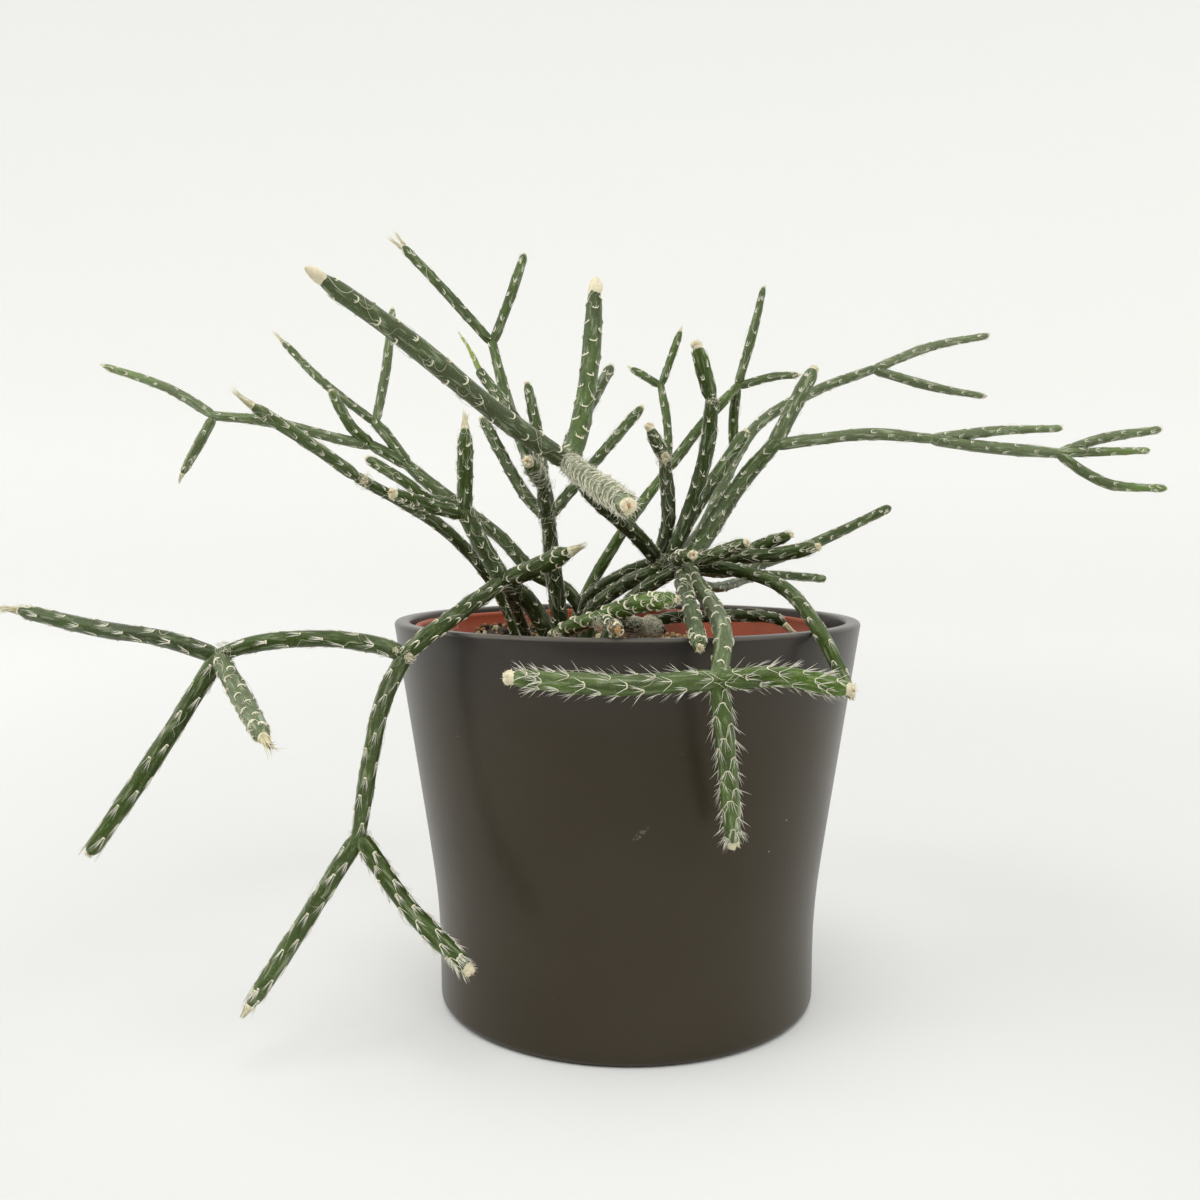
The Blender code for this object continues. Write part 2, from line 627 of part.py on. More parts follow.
def is_clear(root, heading, lines):
    """Whether a bristle stays off the other stems and their bristles, the pots and the soil."""
    tip = root + heading * BRISTLE_LENGTH
    for points, radius in lines:
        if np.linalg.norm(points - tip, axis=1).min() < radius + BRISTLE_LENGTH:
            return False
    for end in (root, tip):
        out = math.hypot(end[0], end[1])
        clear = POT_WALL + BRISTLE_CLEARANCE
        beside_wall = abs(out - pot_radius(min(end[2], POT_HEIGHT)) + POT_WALL / 2) < clear
        if end[2] < POT_HEIGHT + 2 * BRISTLE_CLEARANCE and beside_wall:
            return False
        if out < pot_radius(POT_HEIGHT) and end[2] < SOIL_TOP + BRISTLE_SOIL_CLEARANCE:
            return False
    return True


def bristle(name, root, heading, home):
    """A slender three-sided cone with its base sunk in the stem."""
    shape = bmesh.new()
    bmesh.ops.create_cone(
        shape,
        cap_ends=True,
        segments=BRISTLE_SIDES,
        radius1=BRISTLE_BASE,
        radius2=0.0,
        depth=BRISTLE_LENGTH,
    )
    turn = Vector(heading).to_track_quat("Z", "Y").to_matrix().to_4x4()
    centre = Vector(root) + Vector(heading) * (BRISTLE_LENGTH / 2)
    bmesh.ops.transform(shape, matrix=Matrix.Translation(centre) @ turn, verts=shape.verts)
    mesh = bpy.data.meshes.new(name)
    shape.to_mesh(mesh)
    shape.free()
    return object_of(name, mesh, home)


def fused(name, pieces, joining, home):
    """One body from overlapping pieces, by one union with a collection of them."""
    first = pieces[0]
    body = object_of(name, first.data, home)
    joining.objects.unlink(first)
    union = body.modifiers.new("Join", "BOOLEAN")
    union.operation = "UNION"
    union.solver = "EXACT"
    union.operand_type = "COLLECTION"
    union.collection = joining
    bpy.context.view_layer.update()
    settle(body)
    for obj in list(joining.objects) + [first]:
        bpy.data.objects.remove(obj)
    return body


def stem(name, branches, colour, home):
    """All the branches and bristles of one stem, grown together."""
    rng = random.Random(f"{SEED} {name}")
    joining = collection(f"{name}_joining")
    lines = other_stems(name)
    pieces = []
    for number, (diameter, ending, _, route) in enumerate(branches):
        pieces.append(tube(f"{name}_branch_{number}", diameter, ending, route, joining))
    for branch in branches:
        for root, heading in bristle_places(branch, rng):
            if is_clear(root, heading, lines):
                pieces.append(bristle(f"{name}_bristle_{len(pieces)}", root, heading, joining))
    body = fused(name, pieces, joining, home)
    bpy.data.collections.remove(joining)
    body.data.materials.clear()
    body.data.materials.append(material(f"{name} skin", colour, 0.5))
    return body


def main():
    clear_scene()
    home = collection("potted_rhipsalis")
    cutters = collection("cutters")
    cutters.hide_render = True
    cover_pot(home)
    nursery_pot(home, cutters)
    soil(home, cutters)
    for name, (branches, colour) in STEMS.items():
        stem(name, branches, colour, home)


main()
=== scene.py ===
"""Looks of the potted rhipsalis pilocarpa: skins, felt, bristles, hairs and wool of its stems, the
finishes of its two pots and soil, and the pale studio that it stands in.

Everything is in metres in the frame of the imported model. Routes of the stems run through the middle
of each stem and are given in millimetres, as in the part's source.
"""

import logging
import math
from dataclasses import dataclass, field
from enum import Enum
from typing import Any

import bpy
import numpy as np
from mathutils import Euler, Matrix, Vector


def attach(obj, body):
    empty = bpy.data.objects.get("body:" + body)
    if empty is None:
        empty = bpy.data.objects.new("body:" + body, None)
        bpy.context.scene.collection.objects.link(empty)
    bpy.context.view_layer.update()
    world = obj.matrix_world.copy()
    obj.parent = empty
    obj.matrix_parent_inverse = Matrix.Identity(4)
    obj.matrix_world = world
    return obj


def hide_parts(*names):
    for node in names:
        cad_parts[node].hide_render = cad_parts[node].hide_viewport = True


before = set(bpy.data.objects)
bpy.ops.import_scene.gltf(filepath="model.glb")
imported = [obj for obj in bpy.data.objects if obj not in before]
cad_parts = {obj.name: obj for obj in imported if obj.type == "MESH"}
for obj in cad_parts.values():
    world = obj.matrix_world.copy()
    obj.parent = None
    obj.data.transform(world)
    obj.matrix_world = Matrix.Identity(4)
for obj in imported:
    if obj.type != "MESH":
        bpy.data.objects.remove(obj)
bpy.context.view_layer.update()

Array = np.ndarray
Point = tuple[float, float, float]
Colour = tuple[float, float, float]
Span = tuple[float, float]

MM = 0.001
TURN = 2.0 * math.pi
LOG = logging.getLogger("potted_rhipsalis")


@dataclass(frozen=True)
class Areole:
    """A felt crescent with bristles, sizes in millimetres and angles in radians.

    felt holds its width across the stem, its depth along it and its thickness. count, length and
    lean are the least and the most of its bristles, fan is how far they spread sideways, and
    bristle is their radius.
    """

    felt: Point
    count: tuple[int, int]
    length: Span
    lean: Span
    fan: float
    bristle: float = 0.10


class Coat(Enum):
    """What the areoles of a branch look like."""

    DOTS = Areole((0.75, 0.28, 0.50), (3, 6), (0.8, 2.0), (0.05, 0.50), 0.80)
    BARS = Areole((0.90, 0.20, 0.38), (4, 7), (1.1, 2.3), (0.03, 0.14), 0.28)
    HOOKS = Areole((1.20, 1.30, 0.30), (3, 6), (1.0, 2.2), (0.05, 0.30), 0.35)
    LOOPS = Areole((1.25, 2.20, 0.42), (1, 3), (1.0, 2.0), (0.03, 0.12), 0.20)
    HANDS = Areole((0.80, 0.18, 0.50), (6, 10), (2.6, 4.6), (0.03, 0.10), 0.22, 0.09)
    ARCS = Areole((2.00, 0.85, 0.50), (2, 5), (0.8, 1.8), (0.05, 0.20), 0.40)
    LOOSE = Areole((1.10, 0.50, 0.50), (6, 10), (2.2, 4.2), (0.03, 0.45), 0.32)
    CLUMPS = Areole((1.50, 0.70, 0.32), (5, 9), (2.2, 4.6), (0.10, 0.80), 0.50, 0.085)
    RINGS = Areole((2.30, 0.70, 0.38), (6, 10), (1.8, 3.4), (0.10, 0.60), 0.60)


@dataclass(frozen=True)
class Tip:
    """How the skin of a branch closes, and the cap on it, in shares of the branch's radius.

    rounding is how far the skin reaches past the route, lead how far before the route's end it
    starts to close, and closing the power of the curve that closes it. cap holds the width, the
    length and the depth of the cap of a tip that has one. reach is the cap's place among the
    wool's colours, sharp makes it a spindle, and heart is the size of its brown middle.
    """

    rounding: float
    lead: float
    closing: float
    cap: Point | None = None
    reach: float = 0.0
    sharp: float = 1.0
    heart: float = 0.0


class Ending(Enum):
    """How a branch ends."""

    # Inside the joint that the next branches leave from
    FORK = Tip(0.55, 0.0, 0.5)
    # A round tip with a woolly cap
    WOOL = Tip(0.75, 0.7, 0.5, (0.58, 0.80, 0.40), 0.55, heart=0.36)
    # A round tip with a smooth cream bud
    BUD = Tip(0.40, 3.0, 0.8, (0.76, 2.3, 0.78), 0.5, 1.3)
    # A slimmer tip with a long brush of yellow bristles
    POINT = Tip(0.6, 1.5, 0.65)
    # A dried tip
    STUB = Tip(0.25, 0.0, 0.5, (0.58, 0.40, 0.40), -0.5, heart=0.60)


DOTS, BARS, HOOKS, LOOPS, HANDS, ARCS, LOOSE, CLUMPS, RINGS = Coat
FORK, WOOL, BUD, POINT, STUB = Ending


@dataclass(frozen=True)
class Branch:
    """One segment of a stem: its size in millimetres, its route, and what grows on it.

    youth runs from 0, old and dark, to 1, new and bright, and below 0 it is dried. fresh is its
    value at the tip where that differs. spacing is the distance along the stem from one areole to
    the next on their spiral, in millimetres, hair the number of long hairs for each centimetre,
    ribbed how strongly the ribs show, in relief and in a painted sheen on their crests, crown how
    large the cap, bud or brush of the tip is, taper the share of the width lost towards the tip, and
    dusty how much pale bloom is on the skin.
    is_parted says that the brush of the tip parts in two.
    """

    diameter: float
    ending: Ending
    coat: Coat
    route: list[Point]
    youth: float = 0.35
    fresh: float | None = None
    spacing: float = 1.7
    hair: float = 1.5
    ribbed: float = 1.0
    crown: float = 1.0
    taper: float = 0.14
    dusty: float = 0.0
    is_parted: bool = False


@dataclass(frozen=True)
class Tuft:
    """A tangle on a stem: its place and size in millimetres, and how many hairs and lumps it has."""

    place: Point
    size: float
    hairs: int
    lumps: int = 0


# Height in millimetres, just above the soil, at which the routes of the rooted branches start
COLLAR = 103

# Forks of the front left stem
ELBOW = (-33, -32, 124)
LIP_FORK = (-55, -58, 107)
FAR_FORK = (-106, -46, 105)
DROP_FORK = (-69, -50, 59)
LEFT_FORK = (-44, -28, 142)

FRONT_LEFT = [
    Branch(5.2, FORK, DOTS, [(-20, -18, COLLAR), (-27, -24, 118), ELBOW], 0.05, hair=6),
    Branch(3.0, FORK, DOTS, [(-28, -9, COLLAR), (-31, -20, 116), ELBOW], 0.1, hair=4),
    Branch(5.0, POINT, ARCS, [ELBOW, (-26, -34, 127), (-15, -39, 132)], 0.25, spacing=0.9, crown=0.9),
    Branch(4.3, FORK, LOOPS, [ELBOW, (-40, -41, 119), (-45, -50, 115), (-49, -57, 112), LIP_FORK], 0.2,
           spacing=1.2),
    Branch(4.3, FORK, HANDS, [LIP_FORK, (-65, -52, 109), (-80, -49, 110), (-98, -47, 108), FAR_FORK], 0.3,
           spacing=1.9, hair=3),
    Branch(4.4, POINT, HANDS, [FAR_FORK, (-122, -41, 109), (-144, -32, 111), (-170, -22, 115)], 0.2,
           spacing=2.0, crown=1.7),
    Branch(4.6, WOOL, HANDS, [FAR_FORK, (-118, -54, 83), (-132, -64, 59)], 0.3, spacing=1.7, crown=0.8),
    Branch(5.0, POINT, ARCS, [FAR_FORK, (-94, -62, 95), (-84, -80, 90)], 0.40, spacing=1.05, hair=5,
           crown=1.6, dusty=0.45),
    Branch(4.3, FORK, HANDS, [LIP_FORK, (-62, -52, 94), (-66, -50, 78), DROP_FORK], 0.38, spacing=1.5,
           dusty=0.15),
    Branch(4.5, POINT, HANDS, [DROP_FORK, (-82, -55, 38), (-94, -62, 19)], 0.38, spacing=1.4, crown=0.65,
           dusty=0.12),
    Branch(4.6, WOOL, LOOSE, [DROP_FORK, (-55, -56, 42), (-40, -63, 30)], 0.42, spacing=1.1, crown=1.25),
    Branch(4.8, FORK, DOTS, [ELBOW, (-37, -30, 130), LEFT_FORK], 0.15, spacing=1.0, hair=8),
    Branch(4.2, POINT, DOTS, [LEFT_FORK, (-44, -26, 165)], 0.25, spacing=0.8, hair=4, crown=1.05),
    Branch(3.8, WOOL, DOTS, [LEFT_FORK, (-52, -33, 144), (-60, -41, 147)], 0.3, spacing=0.9, crown=1.25),
]

# Forks of the back left stem
LOW_FORK = (-55, 34, 146)
FAN_FORK = (-73, 46, 159)
UPPER_FORK = (-86, 56, 174)
LOWER_FORK = (-86, 51, 166)
REACH_FORK = (-143, 60, 177)

BACK_LEFT = [
    Branch(4.4, FORK, DOTS, [(-11, 24, COLLAR), (-18, 21, 118), (-29, 22, 124), (-40, 27, 135), LOW_FORK],
           0.15, hair=3, spacing=1.3),
    Branch(4.4, FORK, BARS, [LOW_FORK, (-64, 40, 152), FAN_FORK], 0.25, hair=3),
    Branch(3.6, WOOL, BARS, [LOW_FORK, (-63, 30, 147), (-71, 29, 153), (-83, 33, 160)], 0.35, hair=3),
    Branch(3.9, FORK, BARS, [FAN_FORK, (-81, 52, 169), UPPER_FORK], 0.3),
    Branch(3.2, POINT, BARS, [UPPER_FORK, (-84, 65, 194), (-83, 72, 215)], 0.4, hair=1, crown=0.3,
           taper=0.2, dusty=0.3),
    Branch(3.0, POINT, BARS, [UPPER_FORK, (-109, 70, 191), (-124, 80, 205)], 0.35, hair=1, crown=1.6,
           taper=0.2, dusty=0.15),
    Branch(4.0, FORK, BARS, [FAN_FORK, LOWER_FORK], 0.3),
    Branch(3.7, FORK, BARS, [LOWER_FORK, (-96, 53, 168), (-125, 58, 175), REACH_FORK], 0.45, hair=1,
           dusty=0.4),
    Branch(3.5, POINT, BARS, [REACH_FORK, (-161, 66, 187), (-187, 74, 196)], 0.45, 0.95, hair=1,
           crown=0.6, taper=0.3, dusty=0.5),
    Branch(3.4, POINT, BARS, [REACH_FORK, (-153, 56, 157)], 0.35, hair=1, crown=0.8, taper=0.25,
           dusty=0.4),
    Branch(3.7, WOOL, BARS, [LOWER_FORK, (-93, 52, 172), (-101, 57, 184)], 0.35, hair=1),
]

# Fork of the left stem
LEFT_FORK_LOW = (-79, -2, 153)

LEFT = [
    Branch(3.8, FORK, DOTS, [(-33, 13, COLLAR), (-41, 10, 122), (-56, 4, 139), LEFT_FORK_LOW], 0.15,
           hair=4, spacing=1.3),
    Branch(3.7, POINT, BARS, [LEFT_FORK_LOW, (-89, -9, 161), (-104, -20, 172)], 0.45, spacing=1.2,
           crown=1.4, dusty=0.2),
]

# Forks of the middle stem
HAIRY_FORK = (-23, -4, 141)
MIDDLE_TOP = (-24, -5, 151)
VEE_FORK = (-43, 32, 197)
NEW_GROWTH = (-45, 16, 186)

MIDDLE = [
    Branch(4.9, FORK, DOTS, [(-19, 2, COLLAR), (-21, -2, 122), HAIRY_FORK], -0.05, hair=10, spacing=1.1),
    Branch(4.7, FORK, DOTS, [HAIRY_FORK, MIDDLE_TOP], 0.0, hair=12, spacing=0.9),
    Branch(3.3, WOOL, BARS, [HAIRY_FORK, (-9, 10, 159), (4, 22, 175)], 0.3, spacing=1.3, hair=4),
    Branch(3.5, WOOL, DOTS, [HAIRY_FORK, (-30, 2, 148), (-44, 16, 171)], 0.2, hair=6, spacing=1.2),
    Branch(4.4, WOOL, RINGS, [MIDDLE_TOP, (-27, -20, 156)], 0.35, spacing=0.7, hair=10, crown=1.3),
    Branch(3.4, FORK, BARS, [MIDDLE_TOP, (-29, 4, 158), (-38, 23, 180), VEE_FORK], 0.35, hair=2),
    Branch(3.2, POINT, BARS, [VEE_FORK, (-60, 40, 216), (-74, 47, 231)], 0.3, hair=1, crown=1.5,
           is_parted=True),
    Branch(3.1, WOOL, BARS, [VEE_FORK, (-38, 37, 212), (-34, 44, 227)], 0.4, hair=1, crown=0.8),
    Branch(3.4, FORK, HOOKS, [MIDDLE_TOP, (-27, 0, 161), NEW_GROWTH], 0.15, 0.3, spacing=1.0, hair=1),
    Branch(2.6, POINT, BARS, [NEW_GROWTH, (-48.5, 20, 193), (-52, 23, 198.5)], 1.25, 1.6, spacing=1.3,
           hair=0, crown=1.1, taper=0.75),
    Branch(3.3, WOOL, DOTS, [MIDDLE_TOP, (-26, 4, 163), (-30, 12, 181)], 0.25, spacing=1.0, hair=1),
]

# Forks of the hub stem, which rises from the soil on three parents
HUB_BACK = (9, -5, 129)
HUB_MIDDLE = (12, -12, 128)
HUB_FRONT = (16, -21, 128)
KNEE = (-15, -47, 155)
UP_FORK = (11, -6, 158)
TALL_FORK = (24, -12, 174)
LONG_FORK = (44, 8, 163)
REACH_TWIN = (94, 22, 166)
REACH_TRIPLE = (137, 32, 162)
BACK_TWIN = (85, 66, 193)
SIDE_FORK = (31, -14, 130)
CROSS = (21, -82, 104)

HUB = [
    Branch(3.8, FORK, DOTS, [(-14, 13, COLLAR), (-12, 8, 116), (-2, 2, 124), HUB_BACK], 0.1, hair=4,
           spacing=1.2),
    Branch(4.1, FORK, DOTS, [(-12, -8, COLLAR), (-10, -8, 114), (-2, -9, 121), HUB_MIDDLE], 0.05, hair=6,
           spacing=1.2),
    Branch(4.1, FORK, DOTS, [(-7, -24, COLLAR), (1, -23, 118), HUB_FRONT], 0.05, hair=6, spacing=1.2),
    Branch(4.2, FORK, DOTS, [HUB_BACK, HUB_MIDDLE], 0.1, hair=16),
    Branch(4.3, FORK, DOTS, [HUB_MIDDLE, HUB_FRONT], 0.1, hair=16),
    Branch(3.8, WOOL, ARCS, [HUB_FRONT, (14, -28, 130), (17, -35, 131)], 0.3, spacing=0.9, hair=4,
           crown=1.2),
    Branch(4.4, FORK, DOTS, [HUB_BACK, (3, -15, 136), (-8, -32, 146), KNEE], 0.05, hair=3, spacing=1.2),
    Branch(5.0, BUD, ARCS, [KNEE, (-30, -62, 165), (-50, -82, 181), (-66, -96, 192)], 0.16, 0.30,
           spacing=2.0, hair=5, crown=0.80, taper=0.2, dusty=0.22),
    Branch(5.1, BUD, ARCS, [KNEE, (-13, -40, 161), (-10, -22, 184), (-9, -8, 207)], 0.50, 0.30,
           spacing=1.5, hair=1, crown=1.12),
    Branch(4.9, WOOL, RINGS, [KNEE, (-8, -79, 149), (0, -115, 143)], 0.35, spacing=0.6, hair=20,
           crown=1.2, dusty=0.85),
    Branch(3.5, WOOL, DOTS, [KNEE, (-15, -24, 163), (-5, 2, 185)], 0.15, hair=3),
    Branch(4.1, FORK, DOTS, [HUB_BACK, (12, -5, 140), UP_FORK], 0.05, hair=4, spacing=1.0, dusty=0.12),
    Branch(3.9, WOOL, DOTS, [UP_FORK, (7, -8, 166)], 0.1, spacing=0.8, hair=3, crown=1.3, dusty=0.12),
    Branch(4.3, FORK, DOTS, [HUB_MIDDLE, (18, -10, 143), (23, -11, 162), TALL_FORK], 0.1, hair=4,
           spacing=1.2),
    Branch(4.4, WOOL, BARS, [TALL_FORK, (20, -14, 188)], 0.4, spacing=1.0, hair=1, crown=1.25),
    Branch(4.0, WOOL, HOOKS, [HUB_MIDDLE, (19, -3, 142), (35, 8, 166)], 0.25, hair=5),
    Branch(5.0, FORK, DOTS, [HUB_FRONT, (22, -12, 135), (35, 4, 153), LONG_FORK], 0.2, hair=5,
           spacing=1.3),
    Branch(4.8, WOOL, BARS, [LONG_FORK, (57, 20, 186)], 0.3, spacing=1.3, hair=2, crown=1.1, dusty=0.2),
    Branch(3.7, FORK, BARS, [LONG_FORK, (57, 12, 165), (75, 17, 167), REACH_TWIN], 0.42, hair=1,
           spacing=2.0, dusty=0.45),
    Branch(3.2, WOOL, BARS, [REACH_TWIN, (118, 30, 169), (138, 34, 170)], 0.42, 0.8, hair=1, crown=0.7,
           taper=0.3, dusty=0.55),
    Branch(3.8, FORK, BARS, [REACH_TWIN, (110, 27, 164), REACH_TRIPLE], 0.42, hair=1, spacing=2.0,
           dusty=0.5),
    Branch(3.2, WOOL, BARS, [REACH_TRIPLE, (153, 37, 167), (172, 40, 170)], 0.42, hair=1, crown=0.8,
           taper=0.2, dusty=0.5),
    Branch(3.0, WOOL, BARS, [REACH_TRIPLE, (166, 34, 163)], 0.5, 1.0, hair=1, crown=0.6, taper=0.3,
           dusty=0.4),
    Branch(3.2, WOOL, BARS, [REACH_TRIPLE, (147, 31, 155), (155, 33, 152), (173, 37, 151)], 0.45, 0.95,
           hair=1, crown=0.7, taper=0.25, dusty=0.3),
    Branch(3.6, FORK, BARS, [HUB_MIDDLE, (22, 6, 137), (42, 38, 171), (63, 52, 184), BACK_TWIN], 0.3,
           hair=2, dusty=0.3),
    Branch(3.2, POINT, BARS, [BACK_TWIN, (107, 74, 202), (129, 82, 207)], 0.4, hair=1, crown=0.3,
           taper=0.25, dusty=0.65),
    Branch(3.2, POINT, BARS, [BACK_TWIN, (109, 70, 187), (126, 76, 185)], 0.4, hair=1, crown=0.5,
           taper=0.3, dusty=0.5),
    Branch(4.0, WOOL, HOOKS, [HUB_FRONT, (24, -27, 131), (31, -32, 134)], 0.35, spacing=0.9, hair=8,
           crown=1.0),
    Branch(4.1, FORK, HOOKS, [HUB_FRONT, (23, -17, 130), SIDE_FORK], 0.15, hair=4),
    Branch(3.4, WOOL, HOOKS, [SIDE_FORK, (37, -14, 133), (45, -17, 136)], 0.3, spacing=1.0, hair=6),
    Branch(4.0, WOOL, HOOKS, [SIDE_FORK, (42, -20, 131), (51, -25, 133)], 0.15, spacing=1.0, hair=6),
    Branch(3.2, WOOL, BARS, [HUB_MIDDLE, (26, 16, 120), (48, 58, 122), (71, 78, 120)], 0.3, hair=1,
           crown=0.6),
    Branch(3.7, WOOL, BARS, [HUB_MIDDLE, (32, 16, 125), (63, 50, 133), (92, 70, 145)], 0.25, hair=1,
           crown=0.6),
    Branch(3.7, WOOL, BARS, [HUB_FRONT, (28, -24, 127), (41, -33, 123), (49, -50, 112), (56, -54, 97)],
           0.3, 0.5, spacing=1.6, hair=1, crown=0.8),
    Branch(4.6, FORK, ARCS, [HUB_FRONT, (19, -34, 123), (22, -50, 118), (23, -68, 113), CROSS], 0.25,
           0.55, spacing=1.6, hair=1, ribbed=1.3, dusty=0.3),
    Branch(4.7, WOOL, CLUMPS, [CROSS, (-2, -84, 103), (-25, -81, 104)], 0.55, spacing=1.2, ribbed=2.4,
           crown=1.35, dusty=0.12),
    Branch(4.7, WOOL, CLUMPS, [CROSS, (36, -85, 105), (48, -88, 103)], 0.62, spacing=0.95, ribbed=1.6,
           crown=1.15),
    Branch(4.4, WOOL, CLUMPS, [CROSS, (24, -74, 81), (26, -65, 63)], 0.6, spacing=1.1, ribbed=1.7,
           crown=1.3, dusty=0.1),
    Branch(4.1, WOOL, ARCS, [HUB_FRONT, (15, -38, 123), (16, -56, 118), (17, -75, 111)], 0.2, 0.35,
           spacing=1.7, hair=3, crown=0.9),
]

# Forks of the back stem
SMALL_BRANCH = (14, 52, 158)
BACK_FORK = (39, 72, 188)
SMALL_VEE = (12, 70, 188)

BACK = [
    Branch(3.7, FORK, BARS, [(-18, 37, COLLAR), (-14, 37, 115), (2, 42, 142), SMALL_BRANCH], 0.45, hair=1,
           spacing=2.0),
    Branch(3.6, FORK, BARS, [SMALL_BRANCH, (27, 63, 175), BACK_FORK], 0.4, hair=1, spacing=2.0),
    Branch(3.2, POINT, BARS, [BACK_FORK, (45, 78, 208), (49, 82, 224)], 0.35, hair=1, crown=0.3,
           taper=0.25, dusty=0.1),
    Branch(3.1, POINT, BARS, [BACK_FORK, (52, 77, 192), (61, 80, 193)], 0.35, hair=1, crown=0.4,
           taper=0.25, dusty=0.2),
    Branch(3.4, WOOL, BARS, [BACK_FORK, (38, 75, 177), (38, 74, 165)], 0.35, hair=1, crown=0.7),
    Branch(2.9, FORK, BARS, [SMALL_BRANCH, (14, 62, 174), SMALL_VEE], 0.4, hair=1),
    Branch(2.7, POINT, BARS, [SMALL_VEE, (2, 78, 195)], 0.4, hair=1, crown=0.6),
    Branch(2.7, POINT, BARS, [SMALL_VEE, (19, 78, 208)], 0.4, hair=1, crown=0.6),
]

# Fork of the rim stem
RIM_FORK = (-7, -55, 116)

RIM = [
    Branch(4.2, FORK, ARCS, [(-22, -33, COLLAR), (-19, -40, 109), (-14, -48, 113), RIM_FORK], 0.55,
           spacing=0.7),
    Branch(4.7, WOOL, ARCS, [RIM_FORK, (4, -60, 120), (11, -65, 121)], 0.65, spacing=0.6, crown=0.8),
    Branch(3.0, STUB, ARCS, [RIM_FORK, (-4, -62, 115), (-2, -68, 114)], 0.45, -0.8, spacing=0.9, hair=10,
           crown=1.3),
    Branch(4.5, WOOL, DOTS, [RIM_FORK, (1, -52, 114), (8.5, -51, 112.5)], -0.12, spacing=0.9, hair=90,
           crown=0.35, taper=0.35),
]

INSIDE = [
    Branch(3.6, POINT, BARS,
           [(5, 2, COLLAR), (8, 2, 110), (24, 2, 112), (41, 0, 112), (45, -1, 111.2), (46.3, -1.4, 110)],
           -0.02, spacing=1.1, hair=5, crown=1.3),
]

STEMS = {
    "stem_front_left": FRONT_LEFT,
    "stem_back_left": BACK_LEFT,
    "stem_left": LEFT,
    "stem_middle": MIDDLE,
    "stem_hub": HUB,
    "stem_back": BACK,
    "stem_rim": RIM,
    "stem_inside": INSIDE,
}

TUFTS = {
    "stem_front_left": [
        Tuft((-53.6, -60, 106.5), 1.6, 24, 30),
        Tuft((-57, -59, 108), 1.1, 8, 10),
        Tuft(ELBOW, 3.4, 24),
        Tuft((-104, -47, 106), 2.8, 34),
        Tuft(DROP_FORK, 2.5, 14),
        Tuft(LEFT_FORK, 2.7, 24),
    ],
    "stem_back_left": [Tuft(LOW_FORK, 2.8, 24), Tuft(FAN_FORK, 2.4, 12)],
    "stem_left": [Tuft((-77, -3, 152), 2.4, 20, 30)],
    "stem_middle": [Tuft(HAIRY_FORK, 3.0, 26), Tuft(MIDDLE_TOP, 2.8, 24)],
    "stem_hub": [
        Tuft(KNEE, 3.2, 40),
        Tuft((11, -9, 158), 2.3, 30, 44),
        Tuft((24, -13, 174), 1.9, 20, 24),
        Tuft(HUB_FRONT, 3.2, 28),
        Tuft(HUB_MIDDLE, 3.2, 40),
        Tuft(HUB_BACK, 3.0, 30),
        Tuft(CROSS, 2.8, 12),
    ],
    "stem_back": [Tuft(SMALL_BRANCH, 2.0, 8)],
    "stem_rim": [
        Tuft((-6, -58, 115), 2.2, 60, 12),
        Tuft((6, -52, 113), 2.9, 150),
        Tuft((-17, -46, 110), 2.2, 50, 20),
        Tuft((10, -65, 121), 2.2, 30, 16),
    ],
    "stem_inside": [],
}


class Wire:
    """A shader socket that takes part in Python arithmetic."""

    def __init__(self, graph: "Graph", socket: Any) -> None:
        """Holds the socket and the graph that it belongs to."""
        self.graph = graph
        self.socket = socket

    def __add__(self, other: "Wire | float") -> "Wire":
        """Sum of two values."""
        return self.graph.maths("ADD", self, other)

    def __sub__(self, other: "Wire | float") -> "Wire":
        """Difference of two values."""
        return self.graph.maths("SUBTRACT", self, other)

    def __rsub__(self, other: float) -> "Wire":
        """Difference of a number and this value."""
        return self.graph.maths("SUBTRACT", other, self)

    def __mul__(self, other: "Wire | float") -> "Wire":
        """Product of two values."""
        return self.graph.maths("MULTIPLY", self, other)

    __radd__ = __add__
    __rmul__ = __mul__


